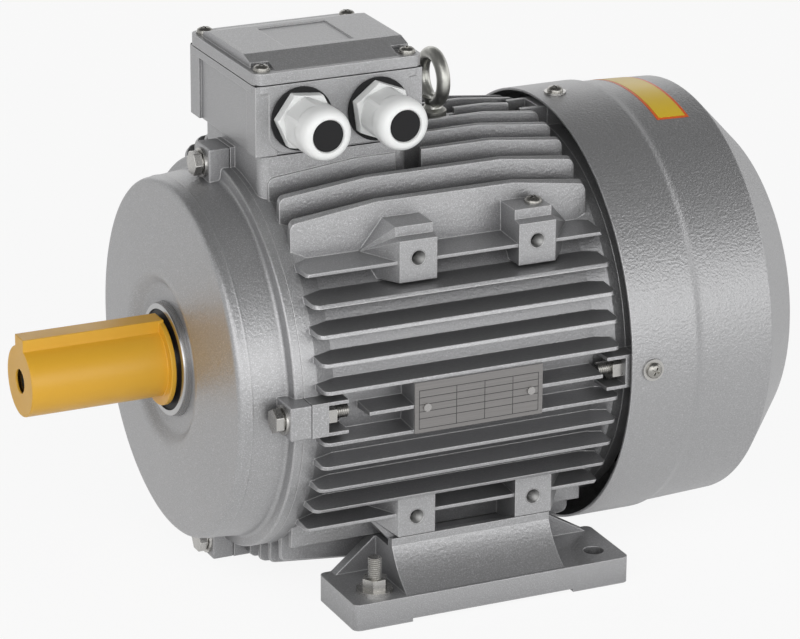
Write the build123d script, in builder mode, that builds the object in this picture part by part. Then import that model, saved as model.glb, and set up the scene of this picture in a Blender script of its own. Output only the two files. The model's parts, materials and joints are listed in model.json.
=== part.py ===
from build123d import *
import math
import os

# Three-phase motor, frame size 132S, foot mounted, with an aluminium housing.
# All sizes are millimetres. The origin lies on the mounting plane, in the middle of the four foot
# holes. X runs along the shaft with the drive end towards -X, Z is up, and the glands look to -Y.

# Mounting sizes of the frame series
shaft_height = 132.0
foot_hole_spacing_x = 140.0
foot_hole_spacing_y = 216.0
foot_hole_d = 12.0
shoulder_to_foot_hole = 89.0
shaft_d = 38.0
shaft_extension = 80.0
key_width = 10.0
key_height = 8.0
key_length = 70.0
keyway_depth = 5.0
key_end_gap = 5.0
shaft_thread_core_d = 10.2
shaft_thread_depth = 28.0

# Fits and clearances
press_gap = 0.05
running_gap = 0.1
seat_gap = 0.3
bolt_hole_gap = 0.6

# Finned stator frame
frame_front = -116.0
frame_rear = 84.5
barrel_d = 220.0
frame_bore_d = 210.0
end_ring_d = 228.0
front_ring_width = 8.5
rear_ring_width = 6.0
end_ramp_length = 11.5
fin_tip_d = 254.0
upright_fin_end_d = 251.0
upright_fin_middle_d = 261.0
upright_fin_limit = 128.5
upright_fin_front_slope = 52.0
upright_fin_rear_slope = 46.0
fin_pitch = 15.2
fin_tip_thickness = 2.0
fin_root_thickness = 4.6
fin_taper_length = 22.0
fins_per_half = 5
fin_rear_gap = 3.0
fin_corner_radius = 4.0
fin_pad_step = 1.5

# Bolt lugs shared by the frame and both end shields
lug_count = 4
lug_bolt_circle_d = 231.0
lug_outer_d = 251.0
lug_width = 20.0
frame_lug_front = 10.0
frame_lug_rear = 5.5
nut_bay_length = 12.0
nut_bay_width = 16.0
nut_bay_floor_d = 216.6
nut_clearance_length = 24.0
shield_bolt_d = 8.0
shield_bolt_length = 40.0
hex_head_width = 13.0
hex_head_height = 5.3
hex_nut_height = 6.5
washer_d = 17.0
washer_thickness = 1.6

# Mounting pads on the four corners of the frame
pad_centre_x = -4.0
pad_spacing_x = 74.0
pad_length = 23.0
pad_face_y = 102.0
pad_seat_height = 95.7
pad_ledge_height = 89.0
pad_ledge_y = 96.0
pad_low_edge = 64.5
pad_root_y = 74.0
pad_hole_d = 8.5
pad_hole_depth = 18.0
pad_hole_height = 78.0
pad_seat_hole_y = 88.0
pad_seat_hole_depth = 13.0
gusset_front_run = 14.5
gusset_rear_run = 18.0
gusset_tip_y = 79.0

# Terminal pedestal and terminal box
box_centre_x = -65.3
box_half_length = 49.4
box_half_width = 47.0
box_collar_half_length = 51.5
box_collar_half_width = 48.5
box_collar_height = 4.5
box_corner_radius = 6.0
box_wall = 3.5
box_floor_z = 262.0
box_top_z = 303.0
box_column_d = 13.0
box_gasket_thickness = 1.0
box_window_length = 56.0
box_window_width = 40.0
box_window_y = -5.0
pedestal_near_y = -46.0
pedestal_far_y = 36.0
pedestal_half_length = 45.5
pedestal_centre_x = -67.5
pedestal_fin_cut = 8.0
pedestal_fin_stub = 102.5
box_screw_x = 37.0
box_screw_near_y = -29.0
box_screw_far_y = 26.0
box_screw_length = 15.0
lid_gasket_thickness = 0.6
lid_rim_height = 6.8
lid_crown_height = 5.6
lid_crown_half_length = 48.4
lid_crown_half_width = 45.5
lid_plateau_half_width = 25.2
lid_recess_length = 42.2
lid_recess_width = 41.4
lid_recess_depth = 0.8
lid_wall = 3.0
lid_screw_x = 44.5
lid_screw_y = 41.5
lid_screw_pad_d = 14.0
lid_screw_d = 5.0
lid_screw_head_d = 9.5
lid_screw_head_height = 3.2
lid_screw_length = 18.0

# Cable glands
gland_spacing = 46.8
gland_centre_x = -65.4
gland_centre_z = 282.3
gland_panel_margin = 6.5
gland_panel_rounding = 11.0
gland_thread_d = 25.0
gland_seal_d = 36.8
gland_seal_thickness = 1.8
gland_hex_width = 30.4
gland_hex_height = 6.5
gland_hex_turns = (-6.0, -22.0)
gland_neck_d = 27.0
gland_neck_length = 1.5
gland_cap_d = 30.4
gland_cap_hex_width = 27.6
gland_cap_length = 28.5
gland_cap_grip = 16.0
gland_cap_dome = 12.5
gland_cap_rounding = 5.0
gland_mouth_d = 18.4
gland_plug_recess = 1.5
gland_plug_length = 8.0
gland_nut_width = 30.0
gland_nut_clearance_d = 35.5
gland_nut_thickness = 5.0

# Inside the terminal box
block_length = 58.0
block_width = 34.0
block_height = 12.0
block_y = 18.0
block_rib = 3.0
block_rib_height = 6.0
stud_d = 6.0
stud_root = 8.0
stud_height = 15.0
stud_pitch = 19.0
stud_row_spacing = 18.0
stud_nut_width = 10.0
stud_nut_height = 5.0
link_width = 9.0
link_thickness = 1.2

# Lifting eye
eye_x = 15.3
eye_ring_z = 280.4
eye_ring_d = 28.0
eye_section_d = 8.0
eye_collar_d = 15.0
eye_collar_height = 4.0
eye_boss_d = 19.0
eye_boss_margin = 3.6
eye_boss_z = 257.0
eye_thread_d = 8.0
eye_thread_length = 13.0

# Nameplate
plate_centre_x = -15.0
plate_centre_z = 131.0
plate_length = 79.5
plate_height = 30.0
plate_thickness = 0.8
plate_rivet_spacing = 64.6
plate_rivet_d = 4.6
plate_rivet_height = 1.2
plate_pin_d = 2.4
plate_pin_length = 6.0

# End shields and bearings
bearing_bore_d = 40.0
bearing_outer_d = 90.0
bearing_width = 23.0
drive_bearing_x = -144.0
rear_bearing_x = 80.0
bearing_race = 7.0
shield_rim_width = 5.6
spigot_length = 4.0
drive_face_outer_x = -150.8
drive_face_outer_d = 206.4
drive_face_inner_x = -155.8
drive_face_inner_d = 100.0
drive_drum_d = 210.0
drive_drum_base_d = 214.0
drive_drum_rear_x = -123.0
drive_lip_x = -155.0
drive_lip_d = 65.0
drive_lip_base_d = 67.0
drive_moat_x = -150.1
drive_boss_front = -129.0
seal_outer_d = 59.0
seal_width = 7.0
seal_face_x = -154.0
shield_wall = 6.0
hub_wall = 7.0
shield_rib_thickness = 5.0
shield_rib_count = 6
rear_wall_x = 92.0
rear_hub_x = 111.0
rear_stop_x = 106.0
rear_bore_d = 52.0
rear_lug_depth = 20.0
rear_lug_outer_d = 254.2
rear_seal_length = 6.0
spring_inner_d = 77.0

# Rotor and stator
shoulder_d = 48.0
core_seat_d = 50.0
core_front = -73.0
core_rear = 42.0
stator_bore_d = 136.0
air_gap = 0.5
winding_overhang = 30.0
winding_inner_d = 142.0
winding_outer_d = 198.0
winding_rounding = 8.0
rotor_ring_length = 12.0
rotor_ring_d = 124.0
rotor_ring_bore_d = 86.0
bearing_seat_end_x = 108.0
fan_seat_d = 36.0
shaft_rear = 156.0
shaft_chamfer = 1.0

# Fan and fan cover
fan_plate_x = 123.0
fan_plate_thickness = 3.0
fan_hub_d = 54.0
fan_hub_length = 26.0
fan_d = 204.0
fan_blade_count = 9
fan_blade_thickness = 2.6
fan_blade_width = 34.0
fan_blade_inner_d = 70.0
circlip_thickness = 1.5
circlip_groove = 1.0
circlip_d = 44.0
circlip_gap = 9.0
cover_front = 81.3
cover_rear = 205.0
cover_rim_d = 258.4
cover_step_x = 125.5
cover_step_length = 2.0
cover_body_d = 254.8
cover_shoulder_x = 174.5
cover_shoulder_d = 251.4
cover_crown_x = 201.3
cover_crown_d = 195.6
cover_face_d = 184.0
cover_wall = 1.6
grille_rings = 4
grille_spokes = 4
grille_spoke_width = 9.0
grille_slot_width = 8.0
grille_first_d = 52.0
grille_ring_pitch = 16.0
cover_screw_x = 94.5
cover_screw_d = 5.0
cover_screw_length = 8.5
cover_screw_hole_depth = 5.6
cover_screw_head_d = 9.5
cover_screw_head_height = 3.0
cover_washer_d = 13.0
cover_washer_thickness = 1.2

# Feet
foot_front_x = -89.7
foot_rear_x = 84.8
foot_inner_y = 73.3
foot_outer_y = 124.7
foot_base_thickness = 16.0
foot_relief = 2.0
foot_relief_half_length = 51.0
foot_ridge_front_x = -56.5
foot_ridge_rear_x = 43.5
foot_ridge_height = 5.0
foot_web_inner_y = 80.0
foot_end_slope_front_x = -82.0
foot_end_slope_rear_x = 79.0
foot_pocket_width = 17.5
foot_bolt_d = 10.0
foot_bolt_core_d = 8.3
foot_bolt_head_d = 16.0
foot_bolt_head_height = 10.0
foot_bolt_socket = 8.0
foot_bolt_grip = 9.0
foot_bolt_reach = 11.0

# Earth stud in the near front foot hole
earth_stud_d = 8.0
earth_stud_top = 36.5
earth_nut_height = 6.5
earth_washer_d = 21.0
earth_washer_thickness = 1.6

# Pad screw on the upper rear near pad
pad_screw_x = 38.0
pad_screw_y = -86.0
pad_screw_head_d = 10.5
pad_screw_head_height = 3.4
pad_screw_d = 5.0
pad_screw_length = 12.0

# Slip-on sleeve that covers the shaft extension
sleeve_outer_d = 41.4
sleeve_wall = 1.4
sleeve_end_x = -241.7
sleeve_flange_x = -156.5
sleeve_flange_d = 52.0
sleeve_flange_length = 3.0
sleeve_ridge_width = 13.4
sleeve_ridge_height = 26.5
sleeve_hole_d = 14.0

# Sizes worked out from the ones above
shoulder_x = -(foot_hole_spacing_x / 2 + shoulder_to_foot_hole)
shaft_end_x = shoulder_x - shaft_extension
fin_tip_r = fin_tip_d / 2
lug_bolt_r = lug_bolt_circle_d / 2
front_head_x = drive_boss_front - washer_thickness
front_bolt_end_x = front_head_x + shield_bolt_length
rear_head_x = frame_rear + rear_lug_depth
fin_front = frame_front + front_ring_width
fin_rear = frame_rear - rear_ring_width - fin_rear_gap
spigot_d = frame_bore_d - 2 * press_gap
lid_z = box_top_z + lid_gasket_thickness
lid_rim_z = lid_z + lid_rim_height
lid_plateau_z = lid_rim_z + lid_crown_height
pad_places_x = [pad_centre_x - pad_spacing_x / 2, pad_centre_x + pad_spacing_x / 2]
gusset_base_height = fins_per_half * fin_pitch
gusset_tip_height = gusset_base_height + fin_root_thickness / 2
foot_seat_z = shaft_height - pad_seat_height
foot_ledge_z = shaft_height - pad_ledge_height
foot_hole_x = foot_hole_spacing_x / 2
foot_hole_y = foot_hole_spacing_y / 2
gland_places_x = [gland_centre_x - gland_spacing / 2, gland_centre_x + gland_spacing / 2]
gland_seat_y = -box_collar_half_width
gland_panel_height = box_collar_half_width - box_half_width
box_screw_places = [
    (pedestal_centre_x + side * box_screw_x, y)
    for side in (-1, 1)
    for y in (box_screw_near_y, box_screw_far_y)
]
cover_inner_d = cover_rim_d - 2 * cover_wall
# Far side, top and near side: a screw head underneath would stand lower than the feet
cover_screw_turns = (0, 1, 2)

os.makedirs("parts", exist_ok=True)

shaft_axis = Axis((0, 0, shaft_height), (1, 0, 0))
# Half-section plane: its x is the shaft direction and its y the radius
half_section = Plane(origin=(0, 0, shaft_height), x_dir=(1, 0, 0), z_dir=(0, -1, 0))


def across(x):
    """Plane square to the shaft at x, with its own x along +Y and its own y upwards."""
    return Plane(origin=(x, 0, shaft_height), x_dir=(0, 1, 0), z_dir=(1, 0, 0))


def towards(y, x=0.0, z=0.0):
    """Plane facing -Y at y, with its own x along +X and its own y upwards."""
    return Plane(origin=(x, y, z), x_dir=(1, 0, 0), z_dir=(0, -1, 0))


def lug_plane(x, turn, way):
    """Plane at x on the bolt circle, turned from +Y by quarter turns, facing along X either way."""
    away = Vector(0, 1, 0).rotate(Axis.X, 90 * turn)
    return Plane(origin=Vector(x, 0, shaft_height) + away * lug_bolt_r,
                 x_dir=away.cross(Vector(way, 0, 0)), z_dir=(way, 0, 0))


def facing_up(x, y, z):
    """Plane facing up at a point."""
    return Plane(origin=(x, y, z), x_dir=(1, 0, 0), z_dir=(0, 0, 1))


def facing_down(x, y, z):
    """Plane facing down at a point."""
    return Plane(origin=(x, y, z), x_dir=(1, 0, 0), z_dir=(0, 0, -1))


def outward(x, radius, turn):
    """Plane facing away from the shaft axis, turned from +Y by quarter turns."""
    away = Vector(0, 1, 0).rotate(Axis.X, 90 * turn)
    return Plane(origin=Vector(x, 0, shaft_height) + away * radius, x_dir=(1, 0, 0), z_dir=away)


def turned(profile):
    """Sweeps a half-section outline of (x, radius) points once round the shaft axis."""
    with BuildSketch(half_section) as outline:
        with BuildLine():
            Polyline(*profile, close=True)
        make_face()
    revolve(outline.sketch, axis=shaft_axis)


def ring(x, length, outer_d, inner_d, mode=Mode.ADD):
    """Plain ring about the shaft axis, from x over its length."""
    with BuildSketch(across(x)) as outline:
        Circle(outer_d / 2)
        Circle(inner_d / 2, mode=Mode.SUBTRACT)
    extrude(outline.sketch, amount=length, mode=mode)


def lug_row(x, length, inner_d, width, outer_d=lug_outer_d, mode=Mode.ADD, count=lug_count):
    """Blocks on the bolt circle, from x over their length; fewer than four leave out the top."""
    with BuildSketch(across(x)) as outline:
        with PolarLocations((inner_d + outer_d) / 4, count, 180, 90 * count, rotate=True):
            Rectangle((outer_d - inner_d) / 2, width)
    extrude(outline.sketch, amount=length, mode=mode)


def lug_holes(x, length, hole_d=shield_bolt_d + bolt_hole_gap):
    """Bolt holes on the bolt circle, from x over their length."""
    with BuildSketch(across(x)) as outline:
        with PolarLocations(lug_bolt_r, lug_count):
            Circle(hole_d / 2)
    extrude(outline.sketch, amount=length, mode=Mode.SUBTRACT)


def round_bar(plane, diameter, length, mode=Mode.ADD):
    """Plain round bar, or a drilled hole, that stands on the plane."""
    with BuildSketch(plane) as outline:
        Circle(diameter / 2)
    extrude(outline.sketch, amount=length, mode=mode)


def hex_bolt(plane, head_width, head_height, shank_d, length):
    """Hexagon bolt whose head stands on the plane and whose shank goes down from it."""
    with BuildSketch(plane) as head:
        RegularPolygon(head_width / 2, 6, major_radius=False)
    extrude(head.sketch, amount=head_height)
    round_bar(plane, shank_d, -length)


def hex_nut(plane, width, height, bore_d):
    """Hexagon nut that stands on the plane."""
    with BuildSketch(plane) as outline:
        RegularPolygon(width / 2, 6, major_radius=False)
        Circle(bore_d / 2, mode=Mode.SUBTRACT)
    extrude(outline.sketch, amount=height)


def washer(plane, outer_d, bore_d, thickness):
    """Flat washer that lies on the plane."""
    with BuildSketch(plane) as outline:
        Circle(outer_d / 2)
        Circle(bore_d / 2, mode=Mode.SUBTRACT)
    extrude(outline.sketch, amount=thickness)


def pan_screw(plane, head_d, head_height, shank_d, length):
    """Pan-head screw whose head stands on the plane and whose shank goes down from it."""
    round_bar(plane, head_d, head_height)
    round_bar(plane, shank_d, -length)


def finish_part(builder, name):
    """Names the piece and writes its STEP file."""
    builder.part.label = name
    export_step(builder.part, f"parts/{name}.step")


def tapered_plate(offset, reach, turn):
    """Cross-section of two opposite fins as one plate, thinner towards both of its tips."""
    shoulder = reach - fin_taper_length
    with Locations((0, offset) if turn == 0 else (offset, 0)):
        Polygon(
            (reach, fin_tip_thickness / 2),
            (shoulder, fin_root_thickness / 2),
            (-shoulder, fin_root_thickness / 2),
            (-reach, fin_tip_thickness / 2),
            (-reach, -fin_tip_thickness / 2),
            (-shoulder, -fin_root_thickness / 2),
            (shoulder, -fin_root_thickness / 2),
            (reach, -fin_tip_thickness / 2),
            align=None,
            rotation=turn,
        )


def tip_reach(offset, tip_r):
    """Distance from the middle to a fin's tip, a little past the round envelope."""
    return math.sqrt(tip_r ** 2 - offset ** 2) + fin_tip_thickness / 2


def gusset(x, run, side, level):
    """Brace from the end of a pad at x. Outside the outermost level fin the pad's stepped section
    runs to a point in the corner of the fins, and on its other side a web meets the barrel."""
    with BuildSketch(across(x)) as pad_end:
        with BuildLine():
            Polyline(
                (side * pad_face_y, level * gusset_base_height),
                (side * pad_face_y, level * pad_ledge_height),
                (side * pad_ledge_y, level * (pad_ledge_height + 1)),
                (side * pad_ledge_y, level * pad_seat_height),
                (side * pad_root_y, level * pad_seat_height),
                (side * pad_root_y, level * gusset_base_height),
                close=True,
            )
        make_face()
    tip = Vertex(x + run, side * gusset_tip_y, shaft_height + level * gusset_tip_height)
    loft([pad_end.sketch.face(), tip], ruled=True)
    with BuildSketch(Plane.XY.offset(shaft_height + level * pad_low_edge)) as web:
        with BuildLine():
            Polyline(
                (x, side * pad_face_y),
                (x + run, side * gusset_tip_y),
                (x + run, side * pad_root_y),
                (x, side * pad_root_y),
                close=True,
            )
        make_face()
    extrude(web.sketch, amount=level * (gusset_base_height - pad_low_edge))


# Level fins at one pitch, cut back to a round envelope whose ends are rounded off. The outermost
# ones end just inside the faces of the mounting pads.
with BuildPart() as level_fins:
    with BuildSketch(across(fin_front - 1)) as plates:
        for step in range(-fins_per_half, fins_per_half + 1):
            reach = tip_reach(step * fin_pitch, fin_tip_d / 2)
            if abs(step) == fins_per_half:
                reach = pad_face_y - fin_pad_step
            tapered_plate(step * fin_pitch, reach, 0)
    extrude(amount=fin_rear - fin_front + 1)
    with BuildSketch(half_section) as envelope:
        with Locations(((fin_front - 1 + fin_rear) / 2, fin_tip_r / 2)):
            Rectangle(fin_rear - fin_front + 1, fin_tip_r)
        fillet(envelope.vertices().group_by(Axis.Y)[-1], fin_corner_radius)
    revolve(axis=shaft_axis, mode=Mode.INTERSECT)
    round_bar(across(fin_front - 2), frame_bore_d, fin_rear - fin_front + 3, mode=Mode.SUBTRACT)

# Upright fins at the same pitch. Their tips swell towards the middle of the frame, and the ones
# above and below the shaft stay under a flat limit.
with BuildPart() as upright_fins:
    with BuildSketch(across(fin_front - 1)) as plates:
        for step in range(-fins_per_half, fins_per_half + 1):
            reach = tip_reach(step * fin_pitch, upright_fin_middle_d / 2)
            tapered_plate(step * fin_pitch, min(reach, upright_fin_limit), 90)
    extrude(amount=fin_rear - fin_front + 1)
    with BuildSketch(half_section) as envelope:
        with BuildLine():
            Polyline(
                (fin_front - 1, 0),
                (fin_front - 1, upright_fin_end_d / 2),
                (fin_front + upright_fin_front_slope, upright_fin_middle_d / 2),
                (fin_rear - upright_fin_rear_slope, upright_fin_middle_d / 2),
                (fin_rear, upright_fin_end_d / 2),
                (fin_rear, 0),
                close=True,
            )
        make_face()
        ends = envelope.vertices().sort_by(Axis.X)
        fillet([end for end in ends if abs(end.Y - upright_fin_end_d / 2) < 0.01], fin_corner_radius)
    revolve(axis=shaft_axis, mode=Mode.INTERSECT)
    round_bar(across(fin_front - 2), frame_bore_d, fin_rear - fin_front + 3, mode=Mode.SUBTRACT)

with BuildPart() as stator_frame:
    turned([
        (frame_front, 0),
        (frame_front, end_ring_d / 2),
        (fin_front, end_ring_d / 2),
        (fin_front + end_ramp_length, barrel_d / 2),
        (frame_rear - rear_ring_width - end_ramp_length, barrel_d / 2),
        (frame_rear - rear_ring_width, end_ring_d / 2),
        (frame_rear, end_ring_d / 2),
        (frame_rear, 0),
    ])
    add(level_fins.part)
    add(upright_fins.part)

    # Clear the middle fins where nuts and bolt ends lie, then stand the lugs there
    lug_row(frame_front + frame_lug_front, nut_clearance_length, barrel_d, lug_width,
            outer_d=upright_fin_middle_d + 2, mode=Mode.SUBTRACT)
    lug_row(fin_rear - nut_clearance_length / 2, nut_clearance_length, barrel_d, lug_width,
            outer_d=upright_fin_middle_d + 2, mode=Mode.SUBTRACT)
    lug_row(frame_front, frame_lug_front + nut_bay_length, frame_bore_d + 2, lug_width)
    lug_row(frame_rear, -frame_lug_rear - nut_bay_length, frame_bore_d + 2, lug_width)

    # Trim the lowest fins where the feet run below them, and the fin beside the pedestal
    with BuildSketch(Plane.XY.offset(foot_seat_z + seat_gap)):
        for side in (-1, 1):
            with Locations(((frame_front + frame_rear) / 2, side * (foot_inner_y + fin_pitch))):
                Rectangle(frame_rear - frame_front, 2 * (fin_pitch + seat_gap))
    extrude(amount=-foot_seat_z, mode=Mode.SUBTRACT)
    with BuildSketch(Plane.XY.offset(shaft_height + pedestal_fin_stub)):
        with Locations((pedestal_centre_x + pedestal_half_length, pedestal_near_y)):
            Rectangle(2 * pedestal_fin_cut, fin_pitch / 2)
    extrude(amount=fin_tip_r, mode=Mode.SUBTRACT)

    # Corner pads, the same section mirrored into the four corners
    for x in pad_places_x:
        with BuildSketch(across(x - pad_length / 2)):
            for side in (-1, 1):
                for level in (-1, 1):
                    with BuildLine():
                        Polyline(
                            (side * pad_face_y, level * pad_low_edge),
                            (side * pad_face_y, level * pad_ledge_height),
                            (side * pad_ledge_y, level * (pad_ledge_height + 1)),
                            (side * pad_ledge_y, level * pad_seat_height),
                            (side * pad_root_y, level * pad_seat_height),
                            (side * (pad_root_y - 6), level * pad_low_edge),
                            close=True,
                        )
                    make_face()
        extrude(amount=pad_length)

    # Gussets that brace the pads towards both ends of the frame
    for side in (-1, 1):
        for level in (-1, 1):
            gusset(pad_places_x[0] - pad_length / 2, -gusset_front_run, side, level)
            gusset(pad_places_x[1] + pad_length / 2, gusset_rear_run, side, level)

    # Terminal pedestal with its cable window
    with BuildSketch(Plane.XY.offset(shaft_height)) as pedestal_outline:
        with Locations((pedestal_centre_x, (pedestal_near_y + pedestal_far_y) / 2)):
            Rectangle(2 * pedestal_half_length, pedestal_far_y - pedestal_near_y)
        fillet(pedestal_outline.vertices(), box_corner_radius)
    extrude(amount=box_floor_z - box_gasket_thickness - shaft_height)

    # Boss for the lifting eye, clear of the fin tips
    round_bar(facing_up(eye_x, 0, shaft_height), eye_boss_d, eye_boss_z - shaft_height)
    round_bar(facing_up(eye_x, 0, eye_boss_z), eye_boss_d + 2 * eye_boss_margin, fin_pitch,
              mode=Mode.SUBTRACT)
    round_bar(facing_up(eye_x, 0, eye_boss_z), eye_thread_d + 2 * press_gap, -eye_thread_length - 1,
              mode=Mode.SUBTRACT)

    # Flat land that carries the nameplate
    with BuildSketch(towards(-fin_tip_r, plate_centre_x, plate_centre_z)):
        Rectangle(plate_length, plate_height)
    extrude(amount=-(fin_tip_r - barrel_d / 2 + 4))

    # Bore, cable window, bolt holes, nut bays and tapped holes
    with BuildSketch(across(frame_front)):
        Circle(frame_bore_d / 2)
    extrude(amount=frame_rear - frame_front, mode=Mode.SUBTRACT)
    with BuildSketch(Plane.XY.offset(shaft_height)):
        with Locations((box_centre_x, box_window_y)):
            Rectangle(box_window_length, box_window_width)
    extrude(amount=box_floor_z - shaft_height, mode=Mode.SUBTRACT)
    lug_holes(frame_front, front_bolt_end_x + 1 - frame_front)
    lug_holes(frame_rear, rear_head_x - shield_bolt_length - 1 - frame_rear)
    lug_row(frame_front + frame_lug_front, nut_bay_length + 1, nut_bay_floor_d, nut_bay_width,
            outer_d=fin_tip_d + 1, mode=Mode.SUBTRACT, count=lug_count - 1)
    lug_row(frame_rear - frame_lug_rear, -nut_bay_length - 1, nut_bay_floor_d, nut_bay_width,
            outer_d=fin_tip_d + 1, mode=Mode.SUBTRACT)
    for side in (-1, 1):
        for level in (-1, 1):
            with BuildSketch(towards(side * pad_face_y, z=shaft_height + level * pad_hole_height)):
                with Locations(*[(x, 0) for x in pad_places_x]):
                    Circle(pad_hole_d / 2)
            extrude(amount=side * pad_hole_depth, mode=Mode.SUBTRACT)
        with BuildSketch(Plane.XY.offset(foot_seat_z)):
            with Locations(*[(x, side * pad_seat_hole_y) for x in pad_places_x]):
                Circle(pad_hole_d / 2)
        extrude(amount=pad_seat_hole_depth, mode=Mode.SUBTRACT)
    for x, y in box_screw_places:
        round_bar(facing_up(x, y, box_floor_z - box_gasket_thickness), lid_screw_d + 2 * press_gap,
                  -box_screw_length, mode=Mode.SUBTRACT)
    for side in (-1, 1):
        round_bar(towards(-fin_tip_r, plate_centre_x + side * plate_rivet_spacing / 2, plate_centre_z),
                  plate_pin_d + 2 * press_gap, -plate_pin_length, mode=Mode.SUBTRACT)
    round_bar(facing_up(pad_screw_x, pad_screw_y, shaft_height + pad_seat_height),
              pad_screw_d + 2 * press_gap, -pad_screw_length - 1, mode=Mode.SUBTRACT)
finish_part(stator_frame, "stator_frame")

# Drive-end shield: a shallow dished cover with the bearing hub, a moat and the shaft lip
drive_rim_x = frame_front - shield_rim_width
bearing_pocket_d = bearing_outer_d + 2 * press_gap
hub_d = bearing_outer_d + 2 * hub_wall
drive_inner_x = drive_face_outer_x + shield_wall
with BuildPart() as drive_end_shield:
    turned([
        (drive_lip_x, seal_outer_d / 2),
        (drive_lip_x, drive_lip_d / 2),
        (drive_moat_x, drive_lip_base_d / 2),
        (drive_moat_x, drive_lip_base_d / 2 + 8),
        (drive_face_inner_x, drive_face_inner_d / 2),
        (drive_face_outer_x, drive_face_outer_d / 2),
        (drive_face_outer_x + 3.5, drive_drum_d / 2),
        (drive_drum_rear_x, drive_drum_base_d / 2),
        (drive_rim_x, end_ring_d / 2),
        (frame_front, end_ring_d / 2),
        (frame_front, spigot_d / 2),
        (frame_front + spigot_length, spigot_d / 2),
        (frame_front + spigot_length, spigot_d / 2 - shield_wall),
        (drive_inner_x, drive_face_outer_d / 2 - shield_wall),
        (drive_inner_x, hub_d / 2),
        (drive_bearing_x + bearing_width, hub_d / 2),
        (drive_bearing_x + bearing_width, bearing_pocket_d / 2),
        (drive_bearing_x, bearing_pocket_d / 2),
        (drive_bearing_x, seal_outer_d / 2),
    ])
    lug_row(drive_boss_front, frame_front - drive_boss_front, drive_drum_d - 4, lug_width)
    with BuildSketch(across(drive_inner_x)):
        with PolarLocations((hub_d + spigot_d) / 4 - 2, shield_rib_count, start_angle=30):
            Rectangle((spigot_d - hub_d) / 2 - shield_wall + 4, shield_rib_thickness)
    extrude(amount=10)
    lug_holes(drive_boss_front, frame_front - drive_boss_front)
finish_part(drive_end_shield, "drive_end_shield")

# Rear shield: flange, conical wall and bearing hub
with BuildPart() as rear_shield:
    turned([
        (frame_rear - spigot_length, spigot_d / 2),
        (frame_rear, spigot_d / 2),
        (frame_rear, end_ring_d / 2),
        (rear_wall_x, end_ring_d / 2),
        (rear_hub_x, hub_d / 2),
        (rear_hub_x, rear_bore_d / 2),
        (rear_stop_x, rear_bore_d / 2),
        (rear_stop_x, bearing_pocket_d / 2),
        (rear_bearing_x, bearing_pocket_d / 2),
        (rear_bearing_x, hub_d / 2),
        (rear_hub_x - shield_wall - 3, hub_d / 2),
        (frame_rear - spigot_length, spigot_d / 2 - shield_wall),
    ])
    lug_row(frame_rear, rear_lug_depth, spigot_d - 12, lug_width, outer_d=rear_lug_outer_d)
    lug_holes(frame_rear, rear_lug_depth)
    for turn in cover_screw_turns:
        round_bar(outward(cover_screw_x, rear_lug_outer_d / 2, turn),
                  cover_screw_d + 2 * press_gap, -cover_screw_hole_depth, mode=Mode.SUBTRACT)
finish_part(rear_shield, "rear_shield")

# Bolts, washers and nuts that hold the end shields to the frame
with BuildPart() as front_shield_bolts:
    for turn in range(lug_count):
        hex_bolt(lug_plane(front_head_x, turn, -1), hex_head_width, hex_head_height, shield_bolt_d,
                 shield_bolt_length)
finish_part(front_shield_bolts, "front_shield_bolts")
with BuildPart() as front_shield_washers:
    for turn in range(lug_count):
        washer(lug_plane(drive_boss_front, turn, -1), washer_d, shield_bolt_d + bolt_hole_gap,
               washer_thickness)
finish_part(front_shield_washers, "front_shield_washers")
with BuildPart() as front_shield_nuts:
    for turn in (0, 2, 3):
        hex_nut(lug_plane(frame_front + frame_lug_front, turn, 1), hex_head_width, hex_nut_height,
                shield_bolt_d + press_gap)
finish_part(front_shield_nuts, "front_shield_nuts")
with BuildPart() as rear_shield_bolts:
    for turn in range(lug_count):
        hex_bolt(lug_plane(rear_head_x, turn, 1), hex_head_width, hex_head_height, shield_bolt_d,
                 shield_bolt_length)
finish_part(rear_shield_bolts, "rear_shield_bolts")
with BuildPart() as rear_shield_nuts:
    for turn in range(lug_count):
        hex_nut(lug_plane(frame_rear - frame_lug_rear, turn, -1), hex_head_width, hex_nut_height,
                shield_bolt_d + press_gap)
finish_part(rear_shield_nuts, "rear_shield_nuts")


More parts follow.
